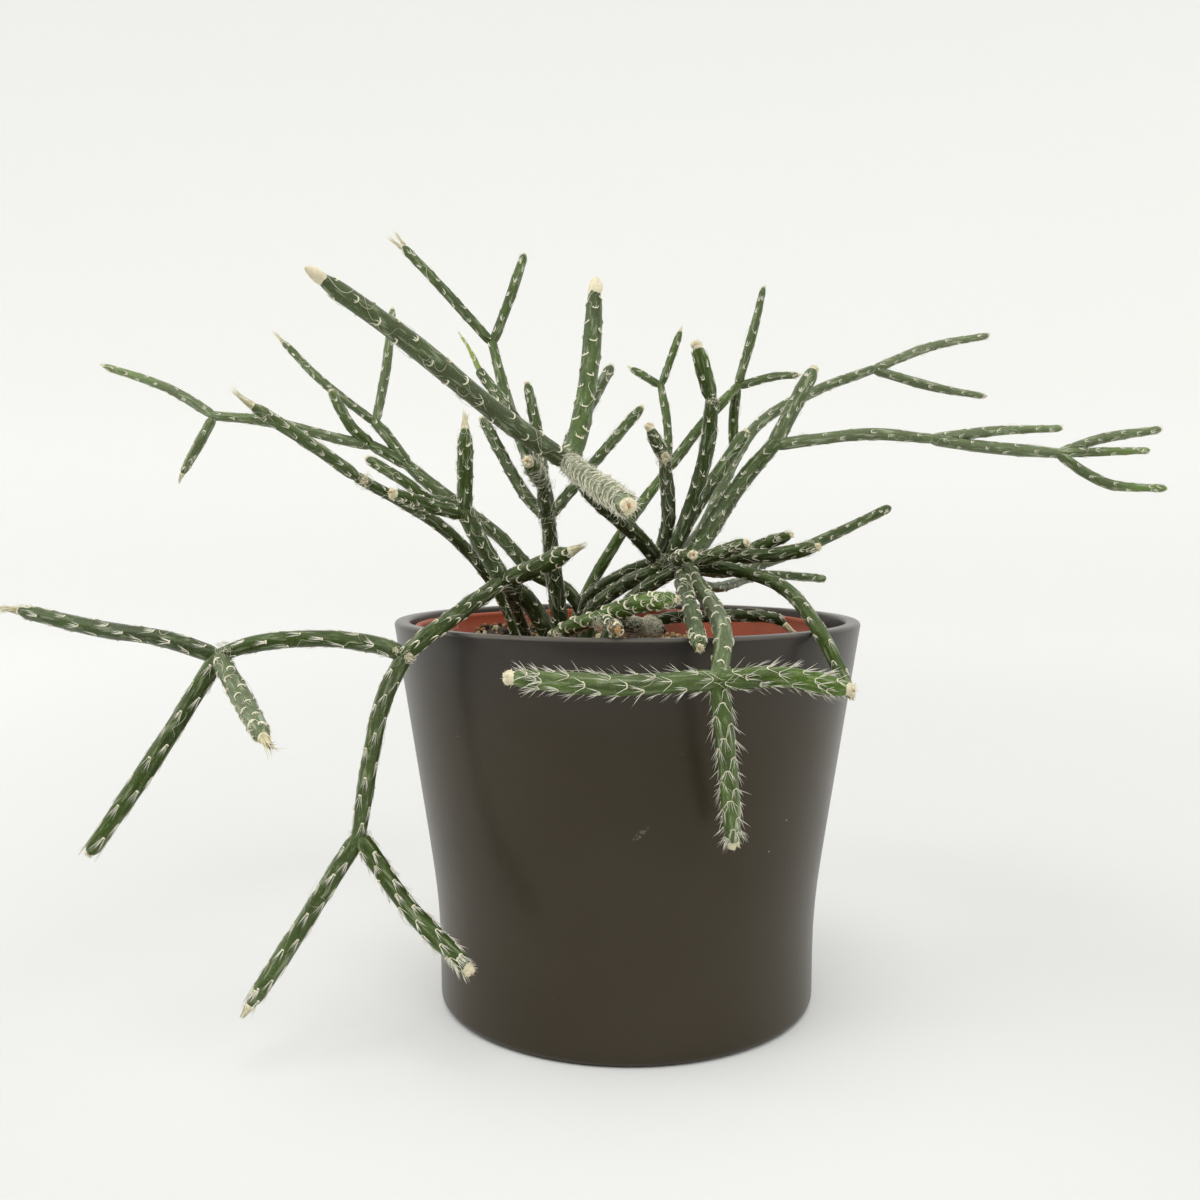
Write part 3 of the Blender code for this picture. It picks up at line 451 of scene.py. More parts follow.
class Graph:
    """The nodes of one material, built from Python expressions."""

    def __init__(self, name: str) -> None:
        """Starts a material that has a Principled shader alone.

        Args:
            name: The material's name.
        """
        self.material = bpy.data.materials.new(name)
        self.material.use_nodes = True
        self.tree = self.material.node_tree
        self.shader = self.tree.nodes["Principled BSDF"]

    def node(
        self,
        kind: str,
        settings: dict[str, Any] | None = None,
        sockets: dict[str | int, Any] | None = None,
        output: str | int = 0,
    ) -> Wire:
        """Adds a node.

        Args:
            kind: The node's type.
            settings: Its own properties, set first.
            sockets: Numbers, colours, vectors or wires for its inputs.
            output: Which output is wanted.

        Returns:
            The wanted output.
        """
        made = self.tree.nodes.new(kind)
        for name, value in (settings or {}).items():
            setattr(made, name, value)
        for name, value in (sockets or {}).items():
            self.feed(made.inputs[name], value)
        return Wire(self, made.outputs[output])

    def feed(self, socket: Any, value: Any) -> None:
        """Links a wire to an input, or sets the input's own value.

        Args:
            socket: The input.
            value: A wire, a number, a colour or a vector.
        """
        if isinstance(value, Wire):
            self.tree.links.new(value.socket, socket)
        elif isinstance(value, tuple) and socket.type == "RGBA":
            socket.default_value = (*value, 1.0)
        else:
            socket.default_value = value

    def maths(self, operation: str, first: Wire | float, second: Wire | float) -> Wire:
        """One Math node."""
        return self.node("ShaderNodeMath", {"operation": operation}, {0: first, 1: second})

    def mixed(self, share: Wire | float, first: Wire | Colour, second: Wire | Colour) -> Wire:
        """A colour between two others, by a share from 0 to 1."""
        return self.node("ShaderNodeMix", {"data_type": "RGBA"}, {0: share, 6: first, 7: second}, 2)

    def vector(self, operation: str, first: Wire, second: Wire | Point) -> Wire:
        """One Vector Math node."""
        return self.node("ShaderNodeVectorMath", {"operation": operation}, {0: first, 1: second})

    def measured(self, operation: str, first: Wire, second: Point) -> Wire:
        """One Vector Math node that gives a number, such as a distance or a dot product."""
        sockets = {0: first, 1: second}
        return self.node("ShaderNodeVectorMath", {"operation": operation}, sockets, "Value")

    def coordinate(self, place: Wire, axis: str) -> Wire:
        """The X, Y or Z of a place."""
        return self.node("ShaderNodeSeparateXYZ", None, {0: place}, axis)

    def layered(self, colour: Wire | Colour, *layers: tuple[Wire, Colour]) -> Wire:
        """Lays colours over a first one in turn.

        Args:
            colour: The lowest colour.
            layers: The share and the colour of each further one, from the lowest up.

        Returns:
            The colour that comes of it.
        """
        for share, layer in layers:
            colour = self.mixed(share, colour, layer)
        return colour

    def attribute(self, name: str, output: str = "Fac") -> Wire:
        """A value kept at the points of a piece: Fac for a number, Vector for a vector."""
        return self.node("ShaderNodeAttribute", {"attribute_name": name}, output=output)

    def place(self) -> Wire:
        """Object coordinates."""
        return self.node("ShaderNodeTexCoord", output="Object")

    def noise(self, vector: Wire, size: float, detail: float = 2.0) -> Wire:
        """Soft noise from 0 to 1, with patches of a size in metres and a number of finer layers."""
        sockets = {"Vector": vector, "Scale": 1.0 / size, "Detail": detail}
        return self.node("ShaderNodeTexNoise", None, sockets)

    def spread(self, value: Wire, low: float, high: float) -> Wire:
        """A value carried smoothly from 0 at low to 1 at high."""
        sockets = {"Value": value, "From Min": low, "From Max": high}
        return self.node("ShaderNodeMapRange", {"interpolation_type": "SMOOTHSTEP"}, sockets)

    def bumped(self, height: Wire, depth: float) -> Wire:
        """A normal for a relief of a depth in metres."""
        return self.node("ShaderNodeBump", None, {"Strength": 1.0, "Distance": depth, "Height": height})

    def finish(self, **sockets: Any) -> bpy.types.Material:
        """Feeds the Principled shader.

        Args:
            sockets: A value or a wire for each input, named with underscores for spaces.

        Returns:
            The material.
        """
        for name, value in sockets.items():
            self.feed(self.shader.inputs[name.replace("_", " ")], value)
        return self.material


@dataclass(frozen=True)
class SkinFinish:
    """Living skin of a stem: dark when old, bright when new, brown when dried.

    Each stage has the youth at which its colour starts, the youth at which it is reached, and the
    colour. The sizes of the patches, the streaks and the grain are in metres.
    """

    old: Colour = (0.022, 0.033, 0.008)
    stages: tuple[tuple[float, float, Colour], ...] = (
        (0.0, 0.5, (0.044, 0.076, 0.011)),
        (0.40, 1.0, (0.100, 0.185, 0.018)),
        (1.05, 1.6, (0.300, 0.360, 0.045)),
        (-0.15, -0.6, (0.160, 0.090, 0.035)),
    )
    bloom: Colour = (0.310, 0.345, 0.225)
    patch_size: float = 0.0055
    streak_size: float = 0.0009
    streak_stretch: Point = (1.0, 1.0, 0.16)
    grain_size: float = 0.00045
    depth: float = 0.00018
    shine: float = 0.32
    shine_tint: Colour = (0.88, 1.0, 0.68)

    def material(self) -> bpy.types.Material:
        """Builds the material from the youth, the rib crests for a painted sheen, the bloom and the
        unrolled place kept at the points.

        Returns:
            The material.
        """
        graph = Graph("stem skin")
        place = graph.place()
        unrolled = graph.vector("MULTIPLY", graph.attribute("unrolled", "Vector"), self.streak_stretch)
        patches = graph.noise(place, self.patch_size, 3.0)
        streaks = graph.noise(unrolled, self.streak_size, 3.0)
        grain = graph.noise(place, self.grain_size)
        ripeness = graph.attribute("youth") + (patches - 0.5) * 0.55
        stages = [(graph.spread(ripeness, start, end), colour) for start, end, colour in self.stages]
        creases = graph.spread(streaks, 0.47, 0.34) * 0.65
        fleck = graph.spread(streaks, 0.52, 0.68) * 0.48 + graph.spread(grain, 0.56, 0.70) * 0.24
        # Pale bloom: real dust and flecks, and a painted sheen along the rib crests
        dust = fleck + graph.attribute("rib") * 0.10 + graph.attribute("dusty") * (fleck + 0.5)
        return graph.finish(
            Base_Color=graph.layered(self.old, *stages, (creases, self.old), (dust, self.bloom)),
            Roughness=graph.spread(grain, 0.2, 0.8) * 0.16 + 0.28,
            Specular_IOR_Level=self.shine,
            Specular_Tint=self.shine_tint,
            Normal=graph.bumped(streaks * 0.6 + grain * 0.4, self.depth),
        )


@dataclass(frozen=True)
class HairFinish:
    """Bristles, hairs, felt or wool: one colour at the root, another at the tip, and a stain.

    patch is the size of the patches of tone in metres.
    """

    name: str
    root: Colour
    tip: Colour
    patch: float = 0.004
    roughness: float = 0.6
    stain: Colour = (0.24, 0.105, 0.035)

    def material(self) -> bpy.types.Material:
        """Builds the material from the share of the length kept at the points.

        Returns:
            The material.
        """
        graph = Graph(self.name)
        reach = graph.attribute("reach")
        tone = graph.noise(graph.place(), self.patch)
        towards_tip = graph.spread(reach + (tone - 0.5) * 0.6, 0.0, 0.7)
        stained = graph.spread(reach + (tone - 0.5) * 0.4, -0.2, -0.8)
        return graph.finish(
            Base_Color=graph.layered(self.root, (towards_tip, self.tip), (stained, self.stain)),
            Roughness=graph.spread(tone, 0.3, 0.7) * 0.2 + self.roughness - 0.1,
        )


@dataclass(frozen=True)
class CeramicFinish:
    """Matte dark glaze of the cover pot, with faint clouds, fine pits, pale specks, a scuff and a
    painted highlight along the rim.

    high_from holds the heights between which the greyer upper part comes in, and the next pair the
    heights between which a painted highlight along the rim comes in. speck_edge is where a speck
    fades, as a share of the spacing. The scuff is a slim slanted spot: scuff_across is its short
    direction and scuff_slimness how fast it fades that way.
    """

    glaze: Colour = (0.0320, 0.0240, 0.0150)
    cloud: Colour = (0.0440, 0.0360, 0.0250)
    high: Colour = (0.0360, 0.0320, 0.0310)
    shine: float = 0.3
    shine_tint: Colour = (1.0, 0.92, 0.70)
    pale: Colour = (0.42, 0.38, 0.33)
    high_from: Span = (0.095, 0.125)
    rim_highlight_from: Span = (0.1106, 0.1117)
    cloud_size: float = 0.030
    grain_size: float = 0.0006
    speck_spacing: float = 0.011
    speck_edge: Span = (0.028, 0.012)
    depth: float = 0.00006
    scuff_place: Point = (0.0035, -0.060, 0.0625)
    scuff_across: Point = (-0.65, 0.0, 0.76)
    scuff_size: float = 0.0040
    scuff_slimness: float = 3000.0

    def material(self) -> bpy.types.Material:
        """Builds the glaze on object coordinates.

        Returns:
            The material.
        """
        graph = Graph("dark ceramic")
        place = graph.place()
        clouds = graph.noise(place, self.cloud_size, 4.0)
        grain = graph.noise(place, self.grain_size, 3.0)
        cells = {"Vector": place, "Scale": 1.0 / self.speck_spacing}
        specks = graph.node("ShaderNodeTexVoronoi", {"feature": "F1"}, cells)
        offset = graph.vector("SUBTRACT", place, self.scuff_place)
        aside = graph.measured("DOT_PRODUCT", offset, self.scuff_across)
        away = graph.measured("DISTANCE", place, self.scuff_place)
        scuffed = away + aside * aside * self.scuff_slimness
        scuff = graph.spread(scuffed, self.scuff_size, 0.0) * graph.spread(grain, 0.42, 0.60)
        height = graph.coordinate(place, "Z")
        colour = graph.layered(
            self.glaze,
            (clouds, self.cloud),
            (graph.spread(height + clouds * 0.03, *self.high_from), self.high),
            (graph.spread(specks, *self.speck_edge) * 0.8, self.pale),
            (scuff * 0.35, self.pale),
            # Painted highlight along the rim's top edge, in the pale of the specks
            (graph.spread(height, *self.rim_highlight_from) * 0.15, self.pale),
        )
        return graph.finish(
            Base_Color=colour,
            Roughness=clouds * 0.12 + 0.24,
            Specular_IOR_Level=self.shine,
            Specular_Tint=self.shine_tint,
            Normal=graph.bumped(grain * 0.6 + clouds * 0.4, self.depth),
        )


@dataclass(frozen=True)
class PlasticFinish:
    """Terracotta-coloured plastic of the nursery pot, with dusty specks and a painted shadow of the
    stems on its back inner wall.
    """

    colour: Colour = (0.34, 0.052, 0.014)
    faded: Colour = (0.38, 0.092, 0.042)
    dust: Colour = (0.22, 0.15, 0.09)
    painted_shadow: Colour = (0.075, 0.016, 0.008)
    painted_shadow_place: Point = (0.009, 0.054, 0.1010)
    painted_shadow_edge: Span = (0.018, 0.008)
    patch_size: float = 0.018
    speck_size: float = 0.0012
    depth: float = 0.00008
    shine: float = 0.35
    shine_tint: Colour = (1.0, 0.85, 0.70)

    def material(self) -> bpy.types.Material:
        """Builds the plastic on object coordinates.

        Returns:
            The material.
        """
        graph = Graph("terracotta plastic")
        place = graph.place()
        patches = graph.noise(place, self.patch_size, 3.0)
        specks = graph.noise(place, self.speck_size, 3.0)
        away = graph.measured("DISTANCE", place, self.painted_shadow_place)
        colour = graph.layered(
            self.colour,
            (graph.spread(patches, 0.35, 0.75) * 0.5, self.faded),
            (graph.spread(specks, 0.62, 0.75) * 0.45, self.dust),
            # Painted shadow of the stems on the back inner wall, just above the soil
            (graph.spread(away, *self.painted_shadow_edge) * 0.75, self.painted_shadow),
        )
        return graph.finish(
            Base_Color=colour,
            Roughness=patches * 0.2 + 0.4,
            Specular_IOR_Level=self.shine,
            Specular_Tint=self.shine_tint,
            Normal=graph.bumped(specks, self.depth),
        )


@dataclass(frozen=True)
class EarthFinish:
    """Potting soil: dark peat with yellowish bark, moss and pale grit."""

    peat: Colour = (0.040, 0.026, 0.014)
    bark: Colour = (0.26, 0.13, 0.050)
    moss: Colour = (0.38, 0.33, 0.14)
    grit: Colour = (0.62, 0.55, 0.38)
    grain_size: float = 0.0011
    patch_size: float = 0.009
    depth: float = 0.0004

    def material(self) -> bpy.types.Material:
        """Builds the soil on object coordinates, each crumb with a tone of its own.

        Returns:
            The material.
        """
        graph = Graph("potting soil")
        place = graph.place()
        grain = graph.noise(place, self.grain_size, 4.0)
        patches = graph.noise(place, self.patch_size, 3.0)
        shade = graph.attribute("tone") + (grain - 0.5) * 0.3
        colour = graph.layered(
            self.peat,
            (graph.spread(shade, 0.35, 0.75), self.bark),
            (graph.spread(shade + patches * 0.3, 0.90, 1.15), self.moss),
            (graph.spread(shade, 0.93, 1.02), self.grit),
        )
        relief = graph.bumped(grain, self.depth)
        return graph.finish(Base_Color=colour, Roughness=grain * 0.1 + 0.85, Normal=relief)


@dataclass(frozen=True)
class PaperFinish:
    """Pale paper with painted light and shade: a little darker round the pot than under it, in a
    painted shadow, paler again far off, with its wall painted paler to make up for the light it
    lacks, and dark grey well in front as painted shade for the unlit room there.

    reach and beyond are the distances, rise the heights and forward the places in front, between
    which the middle, the far, the wall's and the grey colour come in.
    """

    near: Colour = (0.80, 0.80, 0.79)
    middle: Colour = (0.66, 0.66, 0.65)
    far: Colour = (0.83, 0.83, 0.82)
    wall: Colour = (0.90, 0.90, 0.885)
    reach: Span = (0.05, 0.20)
    beyond: Span = (0.15, 1.35)
    rise: Span = (0.0, 0.3)
    forward: Span = (-0.42, -0.80)
    grey: Colour = (0.10, 0.10, 0.10)
    tooth_size: float = 0.002

    def material(self) -> bpy.types.Material:
        """Builds the paper on object coordinates, with a very faint tooth.

        Returns:
            The material.
        """
        graph = Graph("pale paper")
        place = graph.place()
        away = graph.measured("DISTANCE", place, (0.0, 0.0, 0.0))
        # Painted light and shade: a darker ring round the pot, paler far floor and wall, and a grey front
        colour = graph.layered(
            self.near,
            (graph.spread(away, *self.reach), self.middle),
            (graph.spread(away, *self.beyond), self.far),
            (graph.spread(graph.coordinate(place, "Z"), *self.rise), self.wall),
            (graph.spread(graph.coordinate(place, "Y"), *self.forward), self.grey),
        )
        tooth = graph.noise(place, self.tooth_size)
        return graph.finish(Base_Color=colour, Roughness=tooth * 0.05 + 0.85)


@dataclass
class Shell:
    """Points and faces of a surface, with values kept at its points for the finish."""

    points: Array
    faces: list[Array]
    marks: dict[str, Array] = field(default_factory=dict)

    @staticmethod
    def joined(shells: list["Shell"]) -> "Shell":
        """Joins shells.

        Args:
            shells: Shells that keep the same kinds of values at their points.

        Returns:
            One shell, with the faces renumbered.
        """
        starts = np.cumsum([0] + [len(shell.points) for shell in shells[:-1]])
        faces = [block + start for shell, start in zip(shells, starts) for block in shell.faces]
        points = np.concatenate([shell.points for shell in shells])
        names = shells[0].marks
        marks = {name: np.concatenate([shell.marks[name] for shell in shells]) for name in names}
        return Shell(points, faces, marks)

    @staticmethod
    def repeated(points: Array, faces: list[Array], marks: dict[str, Array]) -> "Shell":
        """Makes many copies of one shape.

        Args:
            points: Points of each copy, as (copies, points, 3).
            faces: Faces of the shape, by the points of one copy.
            marks: Values kept at the points of all the copies.

        Returns:
            One shell.
        """
        count, size, _ = points.shape
        offsets = (np.arange(count) * size)[:, None, None]
        blocks = [(block[None] + offsets).reshape(-1, block.shape[1]) for block in faces]
        return Shell(points.reshape(-1, 3), blocks, marks)

    def piece(self, name: str, material: bpy.types.Material) -> bpy.types.Object:
        """Makes a smooth object of this shell.

        Args:
            name: The object's name.
            material: Its finish.

        Returns:
            The new object, in the scene.
        """
        mesh = bpy.data.meshes.new(name)
        sizes = np.concatenate([np.full(len(block), block.shape[1]) for block in self.faces])
        corners = np.concatenate([block.ravel() for block in self.faces])
        mesh.vertices.add(len(self.points))
        mesh.vertices.foreach_set("co", self.points.astype(np.float32).ravel())
        mesh.loops.add(len(corners))
        mesh.loops.foreach_set("vertex_index", corners.astype(np.int32))
        mesh.polygons.add(len(sizes))
        mesh.polygons.foreach_set("loop_start", (np.cumsum(sizes) - sizes).astype(np.int32))
        mesh.update(calc_edges=True)
        mesh.validate()
        mesh.shade_smooth()
        for mark, values in self.marks.items():
            is_vector = values.ndim == 2
            kept = mesh.attributes.new(mark, "FLOAT_VECTOR" if is_vector else "FLOAT", "POINT")
            kept.data.foreach_set("vector" if is_vector else "value", values.astype(np.float32).ravel())
        mesh.materials.append(material)
        made = bpy.data.objects.new(name, mesh)
        bpy.context.scene.collection.objects.link(made)
        return made


def unit(vectors: Array) -> Array:
    """Vectors at length 1."""
    return vectors / np.linalg.norm(vectors, axis=-1, keepdims=True)


def smooth_step(share: Array) -> Array:
    """The soft step 3t^2 - 2t^3, with t held between 0 and 1."""
    held = np.clip(share, 0.0, 1.0)
    return held * held * (3.0 - 2.0 * held)


def spokes(count: int) -> Array:
    """Even angles round a whole turn."""
    return np.arange(count) * (TURN / count)


def tube_faces(rings: int, sides: int) -> list[Array]:
    """Faces of a closed tube whose points are a pole, its rings in order, and a pole.

    Each quad goes round the tube first and along it second, so that its face looks outwards.

    Args:
        rings: Number of rings.
        sides: Number of points in a ring.

    Returns:
        The quads, the triangles at the first pole and those at the last.
    """
    here = np.arange(sides)
    following = (here + 1) % sides
    last = 1 + (rings - 1) * sides
    starts = 1 + np.arange(rings - 1)[:, None] * sides
    above = starts + sides
    quads = np.stack([starts + here, starts + following, above + following, above + here], -1)
    foot = np.stack([np.zeros(sides, int), 1 + following, 1 + here], -1)
    tip = np.stack([np.full(sides, last + sides), last + here, last + following], -1)
    return [quads.reshape(-1, 4), foot, tip]


def fibres(paths: Array, widths: Array, sides: int = 3) -> Shell:
    """Many thin tubes at once.

    Each ring is a circle of the given radius in the plane square to its path: the path's heading
    crossed with a fixed direction gives one side of it, and crossed again the other.

    Args:
        paths: Stations of each fibre, as (fibres, stations, 3). The first and last are its poles.
        widths: Radius at each station, as (fibres, stations).
        sides: Number of sides.

    Returns:
        One shell, with the share of the length kept as reach.
    """
    count, stations, _ = paths.shape
    along = unit(np.gradient(paths, axis=1))
    mean = unit(along.mean(axis=1, keepdims=True))
    fixed = np.where(np.abs(mean[..., 2:]) < 0.8, np.array([0.0, 0.0, 1.0]), np.array([1.0, 0.0, 0.0]))
    across = unit(np.cross(along, np.broadcast_to(fixed, along.shape)))
    third = np.cross(along, across)
    angle = spokes(sides)[:, None]
    ring = np.cos(angle) * across[:, 1:-1, None] + np.sin(angle) * third[:, 1:-1, None]
    rings = paths[:, 1:-1, None] + ring * widths[:, 1:-1, None, None]
    points = np.concatenate([paths[:, :1], rings.reshape(count, -1, 3), paths[:, -1:]], axis=1)
    share = np.linspace(0.0, 1.0, stations)
    reach = np.concatenate([share[:1], np.repeat(share[1:-1], sides), share[-1:]])
    return Shell.repeated(points, tube_faces(stations - 2, sides), {"reach": np.tile(reach, count)})


def hair_width(t: Array) -> Array:
    """Width of a hair along its share of the length: the root of a sine, blunt at both ends."""
    return np.sqrt(np.sin(math.pi * (0.12 + 0.8 * t)))


def random_axes(random: np.random.Generator, count: int) -> Array:
    """Right-handed sets of three unit axes, turned at random.

    Each is the orthogonal part of a square of normal random numbers, with its last axis turned over
    where the set is left-handed.

    Args:
        random: Source of the random numbers.
        count: Number of sets.

    Returns:
        The axes, as (sets, 3, 3).
    """
    axes = np.linalg.qr(random.normal(0.0, 1.0, (count, 3, 3)))[0]
    axes[:, 2] *= np.linalg.det(axes)[:, None]
    return axes


def ball(polar: Array, columns: int, sharp: float = 1.0) -> Array:
    """Points of a ball of radius 1: its lower pole, its rings and its upper pole.

    Args:
        polar: Angle of each ring from the lower pole.
        columns: Number of points in a ring.
        sharp: Power of the angle's sine that gives a ring's radius.

    Returns:
        The points, as (points, 3).
    """
    angle, girth = spokes(columns), np.sin(polar)[:, None] ** sharp
    lift = -np.cos(polar)[:, None] * np.ones(columns)
    rings = np.stack([girth * np.cos(angle), girth * np.sin(angle), lift], axis=-1)
    return np.concatenate([[[0.0, 0.0, -1.0]], rings.reshape(-1, 3), [[0.0, 0.0, 1.0]]])


def domes(
    centres: Array, axes: Array, sizes: Array, lumps: Array, reach: float, sharp: float = 1.0
) -> Shell:
    """Many lumpy ellipsoids at once.

    A point at a polar and a turning angle lies at the sizes along three axes, swollen and sunk by
    a product of sines of the two angles. Its distance from the axis is a power of the polar sine.

    Args:
        centres: Middles, as (domes, 3).
        axes: Three unit axes of each, as (domes, 3, 3), the last of which is its own axis.
        sizes: Half sizes along the three axes, as (domes, 3).
        lumps: How far each swells, and the phase of its swelling, as (domes, 2).
        reach: Value kept at the points.
        sharp: The power: 1 gives an ellipsoid, more a spindle.

    Returns:
        One shell.
    """
    rows, columns = 7, 12
    polar = np.linspace(0.0, math.pi, rows + 2)[1:-1]
    swell, phase = lumps[:, 0, None], lumps[:, 1, None, None]
    waves = np.sin(3.0 * spokes(columns) + phase) * np.sin(4.0 * polar[:, None] + phase)
    radius = 1.0 + swell * np.pad(waves.reshape(len(centres), -1), ((0, 0), (1, 1)))
    local = ball(polar, columns, sharp) * radius[..., None] * sizes[:, None]
    points = centres[:, None] + np.einsum("npk,nkj->npj", local, axes)
    marks = {"reach": np.full(points.shape[0] * points.shape[1], reach)}
    return Shell.repeated(points, tube_faces(rows, columns), marks)


def turned(profile: Array, segments: int) -> Shell:
    """A solid turned round Z.

    Point (radius, height) of the profile goes to (radius cos a, radius sin a, height) for each
    angle a.

    Args:
        profile: Radius and height of each point, from the axis, down the outer side, to the axis.
        segments: Number of points in a ring.

    Returns:
        The closed shell.
    """
    angle = -spokes(segments)
    radius = profile[1:-1, 0][:, None]
    height = np.broadcast_to(profile[1:-1, 1][:, None], (len(profile) - 2, segments))
    rings = np.stack([radius * np.cos(angle), radius * np.sin(angle), height], axis=-1).reshape(-1, 3)
    poles = np.array([[0.0, 0.0, profile[0, 1]], [0.0, 0.0, profile[-1, 1]]])
    return Shell(np.concatenate([poles[:1], rings, poles[1:]]), tube_faces(len(profile) - 2, segments))


def arc(centre: Span, radius: float, start: float, end: float, count: int) -> Array:
    """Points of a profile on an arc, from one angle to another in degrees."""
    angle = np.radians(np.linspace(start, end, count))
    return np.stack([centre[0] + radius * np.cos(angle), centre[1] + radius * np.sin(angle)], axis=-1)


@dataclass
class Run:
    """Middle line of a branch, with its width and a frame at every step. Lengths are in metres.

    Attributes:
        branch: The branch.
        step: Distance between two steps.
        soil_foot: Height at which a rooted branch starts, in the soil.
        neck: Share of the width at a fork.
        neck_length: Length of the neck there.
        wave: Share by which the width swells and sinks along the branch.
        wave_length: Length along the branch for each radian of that wave.
        taper_length: Least length over which the tip tapers.
        knot_points: Number of points worked out from one place of the route to the next.
    """

    branch: Branch
    step: float = 0.0004
    soil_foot: float = 0.096
    neck: float = 0.70
    neck_length: float = 0.0032
    wave: float = 0.03
    wave_length: float = 0.0045
    taper_length: float = 0.005
    knot_points: int = 40

    def __post_init__(self) -> None:
        """Works out the line and its frames: heading, side and third direction at every step.

        The side is the direction in which the whole line spreads least, made square to the heading.
        """
        tip = self.branch.ending.value
        self.radius = self.branch.diameter * MM / 2
        self.is_rooted = self.branch.route[0][2] == COLLAR
        line = self.curve()
        walked = np.concatenate([[0.0], np.cumsum(np.linalg.norm(np.diff(line, axis=0), axis=1))])
        self.length = float(walked[-1])
        self.cap = tip.rounding * self.radius
        self.lead = min(tip.lead * self.radius, 0.6 * self.length)
        self.reach = self.length + self.cap
        at = np.linspace(0.0, self.length, max(3, round(self.length / self.step)))
        line = np.stack([np.interp(at, walked, line[:, axis]) for axis in range(3)], axis=-1)
        heading = unit(line[-1] - line[-2])
        line = np.concatenate([line, [line[-1] + heading * (self.cap + self.step)]])
        self.walked = np.append(at, self.reach + self.step)
        along = unit(np.gradient(line, self.walked, axis=0))
        along[-1] = along[-2] = heading
        flat = np.linalg.svd(line - line.mean(axis=0), full_matrices=False)[2][-1]
        side = unit(flat - (along @ flat)[:, None] * along)
        self.kept = np.concatenate([line, along, side, np.cross(along, side)], axis=1)

    def curve(self) -> Array:
        """Points on a smooth curve through the route.

        Each stretch is a cubic whose end slopes come from its neighbours, weighed by the square
        root of the distances. A straight branch has two points and stays straight.

        Returns:
            The points, as (points, 3).
        """
        knots = np.array(self.branch.route, float) * MM
        if self.is_rooted:
            knots = np.concatenate([[[*knots[0, :2], self.soil_foot]], knots])
        if len(knots) == 2:
            return knots
        ends = np.concatenate([[2 * knots[0] - knots[1]], knots, [2 * knots[-1] - knots[-2]]])
        chord = np.sqrt(np.linalg.norm(np.diff(ends, axis=0), axis=1))[:, None]
        slope = np.diff(ends, axis=0) / chord
        bend = (ends[2:] - ends[:-2]) / (chord[1:] + chord[:-1])
        tangent = slope[:-1] - bend + slope[1:]
        start, end = knots[:-1, None], knots[1:, None]
        here = chord[1:-1, None]
        leave, arrive = tangent[:-1, None] * here, tangent[1:, None] * here
        t = np.linspace(0.0, 1.0, self.knot_points, endpoint=False)[:, None]
        curve = (2 * t**3 - 3 * t**2 + 1) * start + (3 * t**2 - 2 * t**3) * end
        curve = curve + (t**3 - 2 * t**2 + t) * leave + (t**3 - t**2) * arrive
        return np.concatenate([curve.reshape(-1, 3), knots[-1:]])

    def frame(self, at: Array, angle: Array) -> tuple[Array, Array, Array, Array]:
        """The line's point, and the directions along, outwards and round, at places on the stem.

        Args:
            at: Distances along the branch in metres.
            angle: Angles round it, of the same shape.

        Returns:
            Point, along, outwards and round, each of that shape with 3 more.
        """
        index = np.interp(at, self.walked, np.arange(len(self.walked)))
        index = np.clip(index, 0, len(self.walked) - 1.001)
        low = index.astype(int)
        share = (index - low)[..., None]
        kept = self.kept[low] * (1.0 - share) + self.kept[low + 1] * share
        point, along, side, third = np.split(kept, 4, axis=-1)
        cos, sin = np.cos(angle)[..., None], np.sin(angle)[..., None]
        return point, along, cos * side + sin * third, cos * third - sin * side

    def width(self, at: Array) -> Array:
        """Radius along the branch: a narrow neck, a slight swelling, and a rounded end.

        Over the end the radius falls as 1 - x^2 to a power, where a half gives an ellipse and more
        gives a slimmer point.

        Args:
            at: Distances along the branch.

        Returns:
            The radius at each.
        """
        neck = np.ones_like(at)
        if not self.is_rooted:
            neck = self.neck + (1.0 - self.neck) * smooth_step(at / self.neck_length)
        past = np.clip((at - self.length + self.lead) / (self.cap + self.lead), 0.0, 1.0)
        narrowing = max(self.taper_length, self.branch.taper * 2.0 * self.length)
        taper = 1.0 - self.branch.taper * smooth_step((at - self.length + narrowing) / narrowing)
        swelling = 1.0 + self.wave * np.sin(at / self.wave_length + 7.0 * self.branch.diameter)
        closing = (1.0 - past**2) ** self.branch.ending.value.closing
        return self.radius * neck * swelling * taper * closing

    def above(self, at: Array, angle: Array, lift: Array | float) -> Array:
        """Points at a height above the skin, at distances along the branch and angles round it."""
        point, _, out, _ = self.frame(at, angle)
        return point + out * (self.width(at) + lift)[..., None]

    def youth(self, at: Array) -> Array:
        """Youth along the branch, from its own to that of its tip.

        Args:
            at: Distances along the branch.

        Returns:
            The youth at each.
        """
        branch = self.branch
        tip = branch.youth + 0.12 if branch.fresh is None else branch.fresh
        return branch.youth + (tip - branch.youth) * smooth_step(at / self.reach * 1.5 - 0.4)


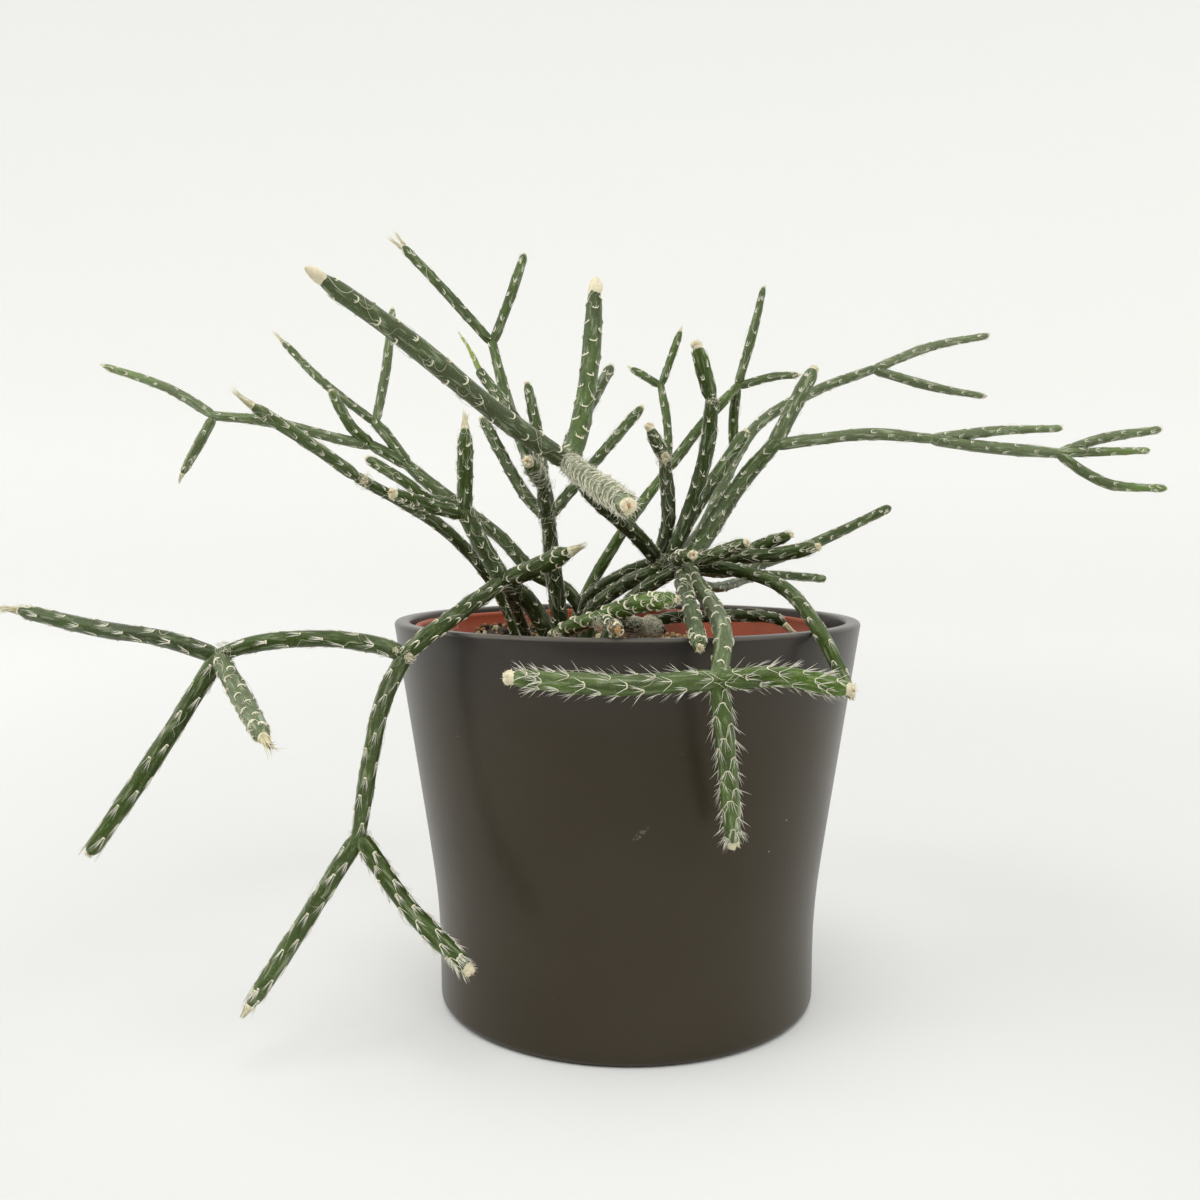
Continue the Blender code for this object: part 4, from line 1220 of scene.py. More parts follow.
@dataclass
class StemSystem:
    """One grown stem: its branches with their skin, felt, bristles, hairs, caps and brushes.

    Attributes:
        node: The CAD node that the skin replaces.
        branches: Its branches.
        tufts: Its tangles of hair and wool.
        seed: Seed of everything random on it.
        ribs: Number of ribs round a branch.
        turn: Angle from one areole to the next.
        buried: Length of a rooted branch that bears nothing, in the soil and just above it.
        bare: Length of any other branch before its first areole.
        stray: How far an areole strays along the stem, as a share of the spacing, and round it.
        twist_length: Length over which the spiral turns by a radian more or less at most.
        crowd: Number of areoles that crowd a free tip.
        crowded: Length that they share.
        columns: Number of points round the skin.
        row: Distance from one ring of the skin to the next.
        rounding: Angles in degrees at which the rings over a tip stand.
        rib_height: How far a rib rises, and how far the furrow beside it sinks.
        swelling: Height of the swelling under an areole.
        swelling_size: Size of the swelling round the stem and along it.
        swelling_back: How far its middle lies before the areole.
        bristle_lift: How far the root of a bristle stands off the skin.
        hair_radius: Radius of a long hair.
        hair_length: Least and most length of a long hair.
        hair_lift: Height of its ends off the skin, and the most that its middle rises above that.
        hair_wander: How far it wanders along the stem.
        cap_domes: Number of domes of a woolly or dried cap.
        fuzz_radius: Radius of a fibre of the wool.
        brush_radius: Radius of a bristle of a brush.
    """

    node: str
    branches: list[Branch]
    tufts: list[Tuft]
    seed: int
    ribs: int = 8
    turn: float = TURN * 3 / 8
    buried: float = 0.007
    bare: float = 0.0016
    stray: Span = (0.22, 0.10)
    twist_length: float = 0.16
    crowd: int = 6
    crowded: float = 0.006
    columns: int = 24
    row: float = 0.0008
    rounding: tuple[float, ...] = (20.0, 38.0, 54.0, 68.0, 79.0, 87.0)
    rib_height: float = 0.00005
    swelling: float = 0.00013
    swelling_size: Span = (0.0007, 0.0009)
    swelling_back: float = 0.0004
    bristle_lift: float = 0.00002
    hair_radius: float = 0.00005
    hair_length: Span = (0.003, 0.010)
    hair_lift: Span = (0.00006, 0.0007)
    hair_wander: float = 0.0006
    cap_domes: int = 10
    fuzz_radius: float = 0.00008
    brush_radius: float = 0.00015

    def __post_init__(self) -> None:
        """Sets out the branches, and the areoles on each: their distances and angles."""
        self.random = np.random.default_rng(self.seed)
        self.runs = [Run(branch) for branch in self.branches]
        self.areoles = [self.areoles_of(run) for run in self.runs]

    def heading(self, *count: int) -> Array:
        """Unit directions at random."""
        return unit(self.random.normal(0.0, 1.0, (*count, 3)))

    def square_to(self, heading: Array) -> Array:
        """Unit directions at random, each square to its heading."""
        return unit(np.cross(heading, self.random.normal(0.0, 1.0, heading.shape)))

    def areoles_of(self, run: Run) -> tuple[Array, Array]:
        """Places the areoles of a branch: each next one is three eighths of a turn further round.

        A few more crowd the last millimetres of a free tip that has no bud.

        Args:
            run: The branch's middle line.

        Returns:
            Their distances along the branch and their angles round it.
        """
        spacing = run.branch.spacing * MM
        first = self.buried if run.is_rooted else self.bare
        count = max(1, int((run.length - first) / spacing))
        order = np.arange(count)
        stray, swing = self.stray
        at = first + (order + self.random.uniform(-stray, stray, count)) * spacing
        start = self.random.uniform(0.0, TURN)
        twist = at / self.twist_length * self.random.uniform(-1.0, 1.0)
        angle = start + order * self.turn + twist + self.random.normal(0.0, swing, count)
        if run.branch.ending in (FORK, BUD):
            return at, angle
        more = run.length - self.random.uniform(0.0, min(self.crowded, 0.6 * run.length), self.crowd)
        return np.append(at, more), np.append(angle, self.random.uniform(0.0, TURN, self.crowd))

    def skin_of(self, run: Run, areole_at: Array, areole_angle: Array) -> Shell:
        """Skin of one branch.

        Point (distance, angle) lies at the branch's radius, raised by low ribs, a cosine of eight
        times the angle, and by a small swelling under each areole, a bell curve of the distance.

        Args:
            run: The branch's middle line.
            areole_at: Distances of its areoles.
            areole_angle: Their angles.

        Returns:
            The closed shell, with its youth, its rib crests for a painted sheen, its bloom and its
            unrolled place.
        """
        straight = np.linspace(0.0, run.length, max(3, round(run.length / self.row)))
        rounding = run.length + run.cap * np.sin(np.radians(self.rounding))
        rows = np.concatenate([straight, rounding])
        at, round_at = np.meshgrid(rows, spokes(self.columns), indexing="ij")
        rib = np.cos(self.ribs * (round_at - areole_angle[0]))
        apart = np.abs((round_at[..., None] - areole_angle + math.pi) % TURN - math.pi) * run.radius
        ahead = at[..., None] - areole_at + self.swelling_back
        wide, long = self.swelling_size
        bells = np.exp(-((apart / wide) ** 2) - (ahead / long) ** 2).sum(axis=-1)
        width = run.width(at)
        raised = self.rib_height * run.branch.ribbed * rib + self.swelling * np.minimum(bells, 1.3)
        rings = run.above(at, round_at, width / run.radius * raised).reshape(-1, 3)
        ends = np.array([0.0, run.reach])
        poles = run.frame(ends, np.zeros(2))[0]
        around = np.stack([width * np.cos(round_at), width * np.sin(round_at), at], axis=-1)
        tips = np.stack([np.zeros(2), np.zeros(2), ends], axis=-1)
        # Rib crests, on which the finish paints a sheen
        crest_sheen = np.clip(smooth_step(rib * 2.0 - 1.0) * (run.branch.ribbed - 0.6), 0.0, 1.0)
        young = run.youth(np.append(at.ravel(), ends))
        marks = {
            "youth": np.concatenate([young[-2:-1], young[:-2], young[-1:]]),
            "rib": np.pad(crest_sheen.ravel(), 1),
            "dusty": np.full(crest_sheen.size + 2, run.branch.dusty),
            "unrolled": np.concatenate([tips[:1], around.reshape(-1, 3), tips[1:]]),
        }
        points = np.concatenate([poles[:1], rings, poles[1:]])
        return Shell(points, tube_faces(len(rows), self.columns), marks)

    def felt_of(self, run: Run, areole_at: Array, areole_angle: Array) -> Shell:
        """A crescent of felt at every areole of a branch.

        It is half an ellipse on the skin, open towards the tip: it goes round the stem by the sine
        of its own angle and along it by one less the cosine.

        Args:
            run: The branch's middle line.
            areole_at: Distances of its areoles.
            areole_angle: Their angles.

        Returns:
            All the crescents as one shell.
        """
        width, depth, thick = (size * MM for size in run.branch.coat.value.felt)
        bow = np.radians(np.linspace(-92.0, 92.0, 7))
        size = self.random.uniform(0.75, 1.15, len(areole_at))[:, None]
        at = areole_at[:, None] + depth * size * (1.0 - np.cos(bow))
        round_at = areole_angle[:, None] + width / 2 * size * np.sin(bow) / run.radius
        widths = thick / 2 * size * (0.45 + 0.55 * np.abs(np.cos(bow)))
        return fibres(run.above(at, round_at, 0.35 * thick), widths, 4)

    def bristles_of(self, run: Run, areole_at: Array, areole_angle: Array) -> Shell:
        """Bristles of every areole of a branch, from its crescent towards the tip.

        A bristle's heading mixes the directions along, outwards and round by its lean and by its
        place on the crescent, and it bends a little by the square of the share of its length.

        Args:
            run: The branch's middle line.
            areole_at: Distances of its areoles.
            areole_angle: Their angles.

        Returns:
            All the bristles as one shell.
        """
        kind = run.branch.coat.value
        width, depth, _ = (size * MM for size in kind.felt)
        owner = np.repeat(np.arange(len(areole_at)), self.random.integers(*kind.count, len(areole_at)))
        total = len(owner)
        bow = self.random.uniform(-1.3, 1.3, total)
        lean = self.random.uniform(*kind.lean, total)[:, None]
        length = self.random.uniform(*kind.length, total)[:, None, None] * MM
        at = areole_at[owner] + depth * (1.0 - np.cos(bow))
        round_at = areole_angle[owner] + width * 0.45 * np.sin(bow) / run.radius
        root = run.above(at, round_at, self.bristle_lift)
        _, along, out, around = run.frame(at, round_at)
        sideways = kind.fan * (np.sin(bow) + self.random.normal(0.0, 0.35, total))
        heading = np.cos(lean) * along + np.sin(lean) * out + sideways[:, None] * around
        t = np.array([0.0, 0.02, 0.5, 1.0])[:, None]
        curl = self.random.normal(0.0, 0.07, total)[:, None] * around - 0.02 * out
        paths = root[:, None] + length * (unit(heading)[:, None] * t + curl[:, None] * t**2)
        radius = kind.bristle * MM * self.random.uniform(0.75, 1.25, total)[:, None]
        tapering = np.array([0.0, 1.0, 0.75, 0.0])
        return fibres(paths, radius * tapering)

    def hairs_of(self, run: Run) -> Shell:
        """Long fine hairs that lie along the skin of a branch and wander round it.

        A hair runs along the stem at a steady pace, round it by a slope and two sines, and stands
        off the skin by a half wave.

        Args:
            run: The branch's middle line.

        Returns:
            All the hairs as one shell.
        """
        t = np.linspace(0.0, 1.0, 10)
        centimetres = run.length * 100.0
        count = max(2, round(run.branch.hair * centimetres))
        first = self.buried if run.is_rooted else 0.0
        length = self.random.uniform(*self.hair_length, (count, 1))
        at = self.random.uniform(first, max(first + MM, run.length - 2 * MM), (count, 1))
        phase = self.random.uniform(0.0, TURN, (count, 1))
        steep = self.random.normal(0.0, 0.25, (count, 1))
        wave = self.random.uniform(0.1, 0.6, (count, 1))
        along = np.minimum(at + length * t + self.hair_wander * np.sin(phase + 9.0 * t), run.reach - MM)
        round_at = phase * 7.0 + length * t * steep / run.radius + wave * np.sin(phase + 7.0 * t)
        low, rise = self.hair_lift
        lift = low + self.random.uniform(0.0, rise, (count, 1)) * np.sin(math.pi * t)
        radius = self.hair_radius * self.random.uniform(0.7, 1.3, (count, 1))
        return fibres(run.above(along, round_at, lift), radius * hair_width(t))

    def tangle_of(self, tuft: Tuft) -> Shell:
        """Loose hairs wound about a joint: arcs of circles round its middle, with a sine across.

        Args:
            tuft: The tangle's place, size and number of hairs.

        Returns:
            All the hairs as one shell.
        """
        count = tuft.hairs
        axis = self.heading(count)
        first = self.square_to(axis)
        second = np.cross(axis, first)
        t = np.linspace(0.0, 1.0, 10)
        sweep = self.random.uniform(0.8, 2.6, (count, 1)) * t
        size = tuft.size * MM * self.random.uniform(0.7, 1.2, (count, 1)) * (1.0 + 0.1 * np.sin(8.0 * t))
        across = 0.3 * size * np.sin(self.random.uniform(0.0, 6.0, (count, 1)) + 5.0 * t)
        paths = np.array(tuft.place, float) * MM + first[:, None] * (size * np.cos(sweep))[..., None]
        paths = paths + second[:, None] * (size * np.sin(sweep))[..., None]
        paths = paths + axis[:, None] * across[..., None]
        radius = self.hair_radius * self.random.uniform(0.8, 1.5, (count, 1))
        return fibres(paths, radius * hair_width(t))

    def cap_of(self, run: Run) -> list[Shell]:
        """The cap of a tip, and on a woolly one a fuzz of short fibres.

        A cap is one low lumpy dome with smaller lumps round its crown and a brown heart. A bud is a
        single smooth dome set deep into the tip.

        Args:
            run: The branch's middle line.

        Returns:
            The domes, the heart and the fuzz.
        """
        ending, crown = run.branch.ending, run.branch.crown
        kind, is_bud = ending.value, ending is BUD
        tip, along, side, third = (part[0] for part in run.frame(np.array([run.reach]), np.zeros(1)))
        axes = np.stack([side, third, along])
        wide, tall, deep = kind.cap
        size = run.radius * wide * min(crown, 1.25)
        long = size * tall * (1.0 if is_bud else max(crown, 0.8))
        sunk = run.radius * (deep * crown if is_bud else deep)
        count = 1 if is_bud else self.cap_domes
        first = np.arange(count) == 0
        turn = self.random.uniform(0.0, TURN, count)
        spread = np.where(first, 0.0, self.random.uniform(0.35, 0.75, count))
        scale = np.where(first, 0.95, self.random.uniform(0.28, 0.52, count))
        offset = spread[:, None] * (np.cos(turn)[:, None] * side + np.sin(turn)[:, None] * third)
        rise = np.where(first, 0.0, 0.9 * np.sqrt(1.0 - spread**2) * long)
        centres = tip - along * sunk + size * offset + along * rise[:, None]
        sizes = scale[:, None] * np.array([size, size, long])
        swell = self.random.uniform(0.05, 0.18, count)
        lumps = np.stack([swell, self.random.uniform(0.0, 6.0, count)], axis=-1)
        all_axes = np.broadcast_to(axes, (count, 3, 3))
        shells = [domes(centres, all_axes, sizes, lumps, kind.reach, kind.sharp)]
        if not is_bud:
            heart = tip + along * (0.88 * long - sunk)
            heart_size = kind.heart * np.array([[size, size, long]])
            shells.append(domes(heart[None], axes[None], heart_size, np.array([[0.15, 1.0]]), -0.7))
        if ending is WOOL:
            shells.append(self.fuzz_of(tip - along * run.radius * 0.35, axes, size))
        return shells

    def fuzz_of(
        self, centre: Array, axes: Array, size: float, count: int = 60, cone: float = 1.45
    ) -> Shell:
        """Short curled fibres that leave a centre within a cone about the last of three axes.

        Each is a straight line bent aside by the square of the share of its length.

        Args:
            centre: Where they start.
            axes: Three unit axes, as (3, 3).
            size: Radius of the cap or tuft that they stand on.
            count: Number of fibres.
            cone: Half angle of the cone in radians.

        Returns:
            All the fibres as one shell.
        """
        lean = cone * np.sqrt(self.random.uniform(0.0, 1.0, (count, 1)))
        angle = self.random.uniform(0.0, TURN, (count, 1))
        aside = np.cos(angle) * axes[0] + np.sin(angle) * axes[1]
        heading = np.sin(lean) * aside + np.cos(lean) * axes[2]
        bend = self.square_to(heading) + 0.6 * axes[2]
        length = size * self.random.uniform(0.95, 1.5, (count, 1, 1))
        t = np.linspace(0.0, 1.0, 5)[:, None]
        paths = centre + length * (heading[:, None] * t + 0.35 * bend[:, None] * t**2)
        tapering = np.array([0.6, 1.0, 1.0, 0.8, 0.0]) * np.ones((count, 1))
        return fibres(paths, self.fuzz_radius * tapering)

    def lumps_of(self, tuft: Tuft) -> list[Shell]:
        """Small lumps of wool scattered within a tall ball, and short curled fibres round it.

        Args:
            tuft: The tangle's place, size and number of lumps.

        Returns:
            The lumps and the fibres.
        """
        count = tuft.lumps
        place = np.array(tuft.place, float)
        offset = self.heading(count) * self.random.uniform(0.2, 0.8, (count, 1))
        centres = (place + tuft.size * offset * [0.7, 0.7, 1.15]) * MM
        axes = random_axes(self.random, count)
        sizes = tuft.size * MM * self.random.uniform(0.07, 0.22, (count, 3))
        lumps = np.stack([np.full(count, 0.15), self.random.uniform(0.0, 6.0, count)], axis=-1)
        fuzz = self.fuzz_of(place * MM, np.eye(3), tuft.size * MM * 0.55, 2 * count, 3.0)
        return [domes(centres, axes, sizes, lumps, 0.45), fuzz]

    def brush_of(self, run: Run, count: int = 56) -> list[Shell]:
        """The brush of a tip: bristles round a slim cone of felt, with a low ring at their foot.

        The bristles close up towards their points, and the whole brush bends to one side by the
        square of the share of its length. A parted brush is two slimmer ones that lean away from
        each other, with every second bristle in each.

        Args:
            run: The branch's middle line.
            count: Number of bristles.

        Returns:
            The bristles, the cone or cones, and the ring.
        """
        angle = self.random.uniform(0.0, TURN, count)
        width = run.radius * (1.0 - run.branch.taper)
        tip, along, out, around = run.frame(np.full(count, run.reach), angle)
        # How slim each half is, how far it stands off the middle, and how far it leans outwards
        slim, apart, lean = (0.75, 0.40, 0.13) if run.branch.is_parted else (1.0, 0.0, 0.0)
        halves = np.where(np.arange(count) % 2, 1.0, -1.0)[:, None]
        aside = unit(np.cross(along[0], [0.0, 1.0, 0.0])) * halves
        ring = width * slim * 0.72 * np.sqrt(self.random.uniform(0.05, 1.0, count))[:, None, None]
        length = width * run.branch.crown * self.random.uniform(1.3, 3.6, count)[:, None, None]
        t = np.array([0.0, 0.1, 0.4, 0.7, 1.0])[:, None]
        closing = 1.0 - 0.95 * t + 0.20 * t**2
        drift = self.random.normal(0.0, 0.12, (count, 1, 1)) * length * t**2
        bent = 0.14 * length * t**2 * self.heading()
        root = (tip - along * width * 0.6)[:, None]
        paths = root + along[:, None] * length * t + out[:, None] * ring * closing
        paths = paths + around[:, None] * drift + bent
        paths = paths + aside[:, None] * (apart * width + lean * length * t)
        radius = self.brush_radius * self.random.uniform(0.7, 1.2, (count, 1))
        prongs = aside[: 2 if run.branch.is_parted else 1]
        heading = unit(along[0] + lean * prongs)
        first = unit(np.cross(around[0], heading))
        cone_axes = np.stack([first, np.cross(heading, first), heading], axis=1)
        cone = np.array([0.50 * slim, 0.50 * slim, 1.5 * run.branch.crown]) * width
        cones = (np.tile(cone, (len(prongs), 1)), np.tile([0.08, 0.0], (len(prongs), 1)))
        centre = tip[0] - along[0] * width * 0.35
        low = centre - along[0] * width * 0.10
        axes = np.stack([out[0], around[0], along[0]])
        collar = np.array([[0.68, 0.68, 0.45]]) * width
        tapering = np.array([0.0, 1.0, 0.95, 0.6, 0.0])
        return [
            fibres(paths, radius * tapering),
            domes(centre + apart * width * prongs, cone_axes, *cones, 0.3, 1.6),
            domes(low[None], axes[None], collar, np.array([[0.10, 2.0]]), 0.9),
        ]

    def shells(self) -> dict[str, list[Shell]]:
        """Grows every kind of piece, in the order in which the random numbers are drawn.

        Returns:
            The shells of each kind of piece.
        """
        placed = list(zip(self.runs, self.areoles))
        capped = [run for run in self.runs if run.branch.ending.value.cap]
        brushed = [run for run in self.runs if run.branch.ending is POINT]
        woolly = [tuft for tuft in self.tufts if tuft.lumps]
        return {
            "skin": [self.skin_of(run, *areoles) for run, areoles in placed],
            "felt": [self.felt_of(run, *areoles) for run, areoles in placed],
            "bristles": [self.bristles_of(run, *areoles) for run, areoles in placed],
            "hairs": [
                *(self.hairs_of(run) for run in self.runs),
                *(self.tangle_of(tuft) for tuft in self.tufts),
            ],
            "wool": [
                *(shell for run in capped for shell in self.cap_of(run)),
                *(shell for tuft in woolly for shell in self.lumps_of(tuft)),
            ],
            "brushes": [shell for run in brushed for shell in self.brush_of(run)],
        }

    def dress(self, finishes: dict[str, bpy.types.Material]) -> None:
        """Makes the stem's pieces, of which the skin stands for the CAD node.

        Args:
            finishes: The finish of each kind of piece by its name.
        """
        for kind, shells in self.shells().items():
            if shells:
                piece = Shell.joined(shells).piece(f"{self.node}_{kind}", finishes[kind])
                nodes = [self.node] if kind == "skin" else []
                settle(piece, "stem_skin", *nodes)


@dataclass
class CoverPot:
    """The dark ceramic pot: an upright foot that bends softly into a straight flare."""

    height: float = 0.1118
    foot_radius: float = 0.0552
    flare: float = 0.152
    bend_height: float = 0.028
    bend_length: float = 0.006
    wall: float = 0.0043
    floor: float = 0.005
    foot_round: float = 0.0025
    edge_round: float = 0.0011
    inner_rings: int = 26
    outer_rings: int = 40
    segments: int = 192

    def radius(self, height: Array | float) -> Array:
        """Outer radius: the flare times a soft ramp, the log of 1 + e^x, above the bend."""
        rise = (height - self.bend_height) / self.bend_length
        return self.foot_radius + self.flare * self.bend_length * np.log1p(np.exp(rise))

    def shell(self) -> Shell:
        """The pot, turned from its profile: floor, inner wall, rim, outer wall and foot.

        Returns:
            The closed shell.
        """
        rim = self.height - self.edge_round
        rim_edge = float(self.radius(rim)) - self.edge_round
        rim_inside = rim_edge - self.wall + 2 * self.edge_round
        inner = np.linspace(2 * self.floor, rim, self.inner_rings)
        outer = np.linspace(rim, self.foot_round, self.outer_rings)
        floor_edge = float(self.radius(self.floor)) - self.wall
        profile = np.concatenate([
            [[0.0, self.floor], [0.5 * floor_edge, self.floor]],
            arc((floor_edge - self.floor, 2 * self.floor), self.floor, -90.0, -10.0, 6),
            np.stack([self.radius(inner) - self.wall, inner], axis=-1)[:-1],
            arc((rim_inside, rim), self.edge_round, 180.0, 90.0, 8),
            arc((rim_edge, rim), self.edge_round, 90.0, 0.0, 8),
            np.stack([self.radius(outer), outer], axis=-1)[1:-1],
            arc((self.foot_radius - self.foot_round, self.foot_round), self.foot_round, 0.0, -90.0, 8),
            [[0.5 * self.foot_radius, 0.0], [0.0, 0.0]],
        ])
        return turned(profile, self.segments)

    def dress(self) -> None:
        """Makes the pot, which stands for its CAD node."""
        piece = self.shell().piece("cover_pot_glazed", CeramicFinish().material())
        settle(piece, "ceramic", "cover_pot")


@dataclass
class NurseryPot:
    """The thin plastic pot inside, pushed against the cover pot's left wall.

    Its drain holes are left out, because the root ball and the cover pot hide them.
    """

    cover: CoverPot
    top: float = 0.1103
    lip_radius: float = 0.060
    lip_depth: float = 0.0045
    neck_radius: float = 0.0578
    base_radius: float = 0.043
    wall: float = 0.0011
    gap: float = 0.0003
    segments: int = 160

    def __post_init__(self) -> None:
        """Seats the pot on the cover pot's floor, with its lip against the wall."""
        self.base = self.cover.floor + self.gap
        self.neck = self.top - self.lip_depth
        room = float(self.cover.radius(self.neck)) - self.cover.wall
        self.across = -(room - self.lip_radius - self.gap)

    def inner_radius(self, height: float) -> float:
        """Inner radius, a straight taper from the neck to the base."""
        share = (height - self.base) / (self.neck - self.base)
        return self.base_radius + share * (self.neck_radius - self.base_radius) - self.wall

    def shell(self) -> Shell:
        """The pot, turned from its profile and moved to its place.

        Returns:
            The closed shell.
        """
        wall, lip, neck = self.wall, self.lip_radius, self.neck
        profile = np.concatenate([
            [[0.0, self.base + wall], [self.inner_radius(self.base), self.base + wall]],
            [[self.inner_radius(neck), neck], [lip - 2 * wall, neck + wall]],
            arc((lip - wall, self.top - wall), wall, 180.0, 0.0, 11),
            [[lip, neck + 0.3 * wall], [lip - 0.3 * wall, neck]],
            [[self.neck_radius, neck - 0.5 * wall], [self.base_radius, self.base], [0.0, self.base]],
        ])
        shell = turned(profile, self.segments)
        shell.points[:, 0] += self.across
        return shell

    def dress(self) -> None:
        """Makes the pot, which stands for its CAD node."""
        piece = self.shell().piece("nursery_pot_moulded", PlasticFinish().material())
        settle(piece, "nursery_plastic", "nursery_pot")


@dataclass
class Soil:
    """The root ball: a lumpy top inside the nursery pot, with small mounds, strewn with crumbs.

    waves and ripples hold the height and the length of two crossing waves and of a slanted finer
    one, grain is the height of the finest relief, and each mound has its place, its height and its
    width, all in metres. shade is the tone of the soil between the crumbs, which have their own.
    """

    pot: NurseryPot
    top: float = 0.100
    waves: Span = (0.0008, 0.026)
    ripples: Span = (0.0006, 0.0095)
    grain: float = 0.0003
    shade: float = 0.12
    rings: int = 40
    segments: int = 120
    crumb_count: int = 2400
    crumb_size: Span = (0.0004, 0.0016)
    seed: int = 11
    mounds: tuple[tuple[float, float, float, float], ...] = (
        (-0.043, 0.030, 0.0055, 0.013),
        (-0.024, 0.032, 0.0060, 0.013),
        (-0.030, 0.006, 0.0045, 0.014),
        (-0.014, -0.030, 0.0040, 0.016),
        (0.000, 0.030, 0.0030, 0.020),
    )

    def __post_init__(self) -> None:
        """Takes the edge from the pot that holds the soil."""
        self.edge = self.pot.inner_radius(self.top) - self.pot.gap
        self.random = np.random.default_rng(self.seed)

    def height(self, x: Array, y: Array) -> Array:
        """Height of the surface: two crossing waves, a slanted finer one, and a bell at each mound.

        Args:
            x: Places across.
            y: Places from front to back.

        Returns:
            The height at each place.
        """
        high, long = self.waves
        low, short = self.ripples
        waves = np.sin(TURN * x / long + 1.0) * np.sin(TURN * y / long)
        ripples = np.sin(TURN * (x - y) / short)
        rise = 0.0
        for across, back, tall, wide in self.mounds:
            rise = rise + tall * np.exp(-((x - across) ** 2 + (y - back) ** 2) / wide**2)
        return self.top + high * waves + low * ripples + rise

    def surface(self) -> Shell:
        """The root ball, turned from its profile, with its top lifted to the surface's height.

        Its finest relief is a product of two sines, one of which is slanted.

        Returns:
            The closed shell, with its tone.
        """
        base = self.pot.base + self.pot.wall + self.pot.gap
        radii = np.linspace(0.0, self.edge, self.rings)
        profile = np.concatenate([
            np.stack([radii, np.full(self.rings, self.top)], axis=-1),
            [[self.pot.inner_radius(base) - self.pot.gap, base], [0.0, base]],
        ])
        shell = turned(profile, self.segments)
        points = shell.points
        from_axis = np.hypot(points[:, 0], points[:, 1])
        is_top = (points[:, 2] > self.top - self.pot.gap) & (from_axis < self.edge * 0.99)
        points[:, 0] += self.pot.across
        x, y = points[is_top, 0], points[is_top, 1]
        relief = self.grain * np.sin(x / 0.0011) * np.sin(y / 0.0013 + x / 0.003)
        points[is_top, 2] = self.height(x, y) + relief
        shell.marks["tone"] = np.full(len(points), self.shade)
        return shell

    def crumbs(self) -> Shell:
        """Crumbs of peat, bark and moss: small balls of uneven radius, squashed and turned.

        Returns:
            All the crumbs as one shell, with their tones.
        """
        count, columns = self.crumb_count, 5
        reach = (self.edge - 2 * MM) * np.sqrt(self.random.uniform(0.0, 1.0, count))
        angle = self.random.uniform(0.0, TURN, count)
        x, y = reach * np.cos(angle) + self.pot.across, reach * np.sin(angle)
        size = self.random.uniform(*self.crumb_size, count) * self.random.uniform(0.6, 1.2, count)
        polar = np.array([0.9, 2.1])
        even = ball(polar, columns)
        uneven = even * self.random.uniform(0.65, 1.2, (count, len(even), 1))
        stretch = self.random.uniform(0.45, 1.25, (count, 1, 3)) * size[:, None, None]
        axes = random_axes(self.random, count)
        centre = np.stack([x, y, self.height(x, y) + 0.35 * size], axis=-1)
        points = centre[:, None] + np.einsum("npk,nkj->npj", uneven * stretch, axes)
        tone = np.repeat(self.random.uniform(0.0, 1.0, count) ** 0.55, len(even))
        return Shell.repeated(points, tube_faces(len(polar), columns), {"tone": tone})

    def dress(self) -> None:
        """Makes the root ball, which stands for its CAD node, and its crumbs."""
        earth = EarthFinish().material()
        settle(self.surface().piece("soil_surface", earth), "soil", "soil")
        settle(self.crumbs().piece("soil_crumbs", earth), "soil")


@dataclass(frozen=True)
class Softbox:
    """One area light: its place, what it looks at, its size in metres and its power in watts."""

    name: str
    place: Point
    towards: Point
    size: float
    power: float

    def light(self) -> None:
        """Adds the light to the scene."""
        lamp = bpy.data.lights.new(self.name, "AREA")
        lamp.size = self.size
        lamp.energy = self.power
        made = bpy.data.objects.new(self.name, lamp)
        aim = Vector(self.towards) - Vector(self.place)
        made.rotation_euler = aim.to_track_quat("-Z", "Y").to_euler()
        made.location = self.place
        bpy.context.scene.collection.objects.link(made)


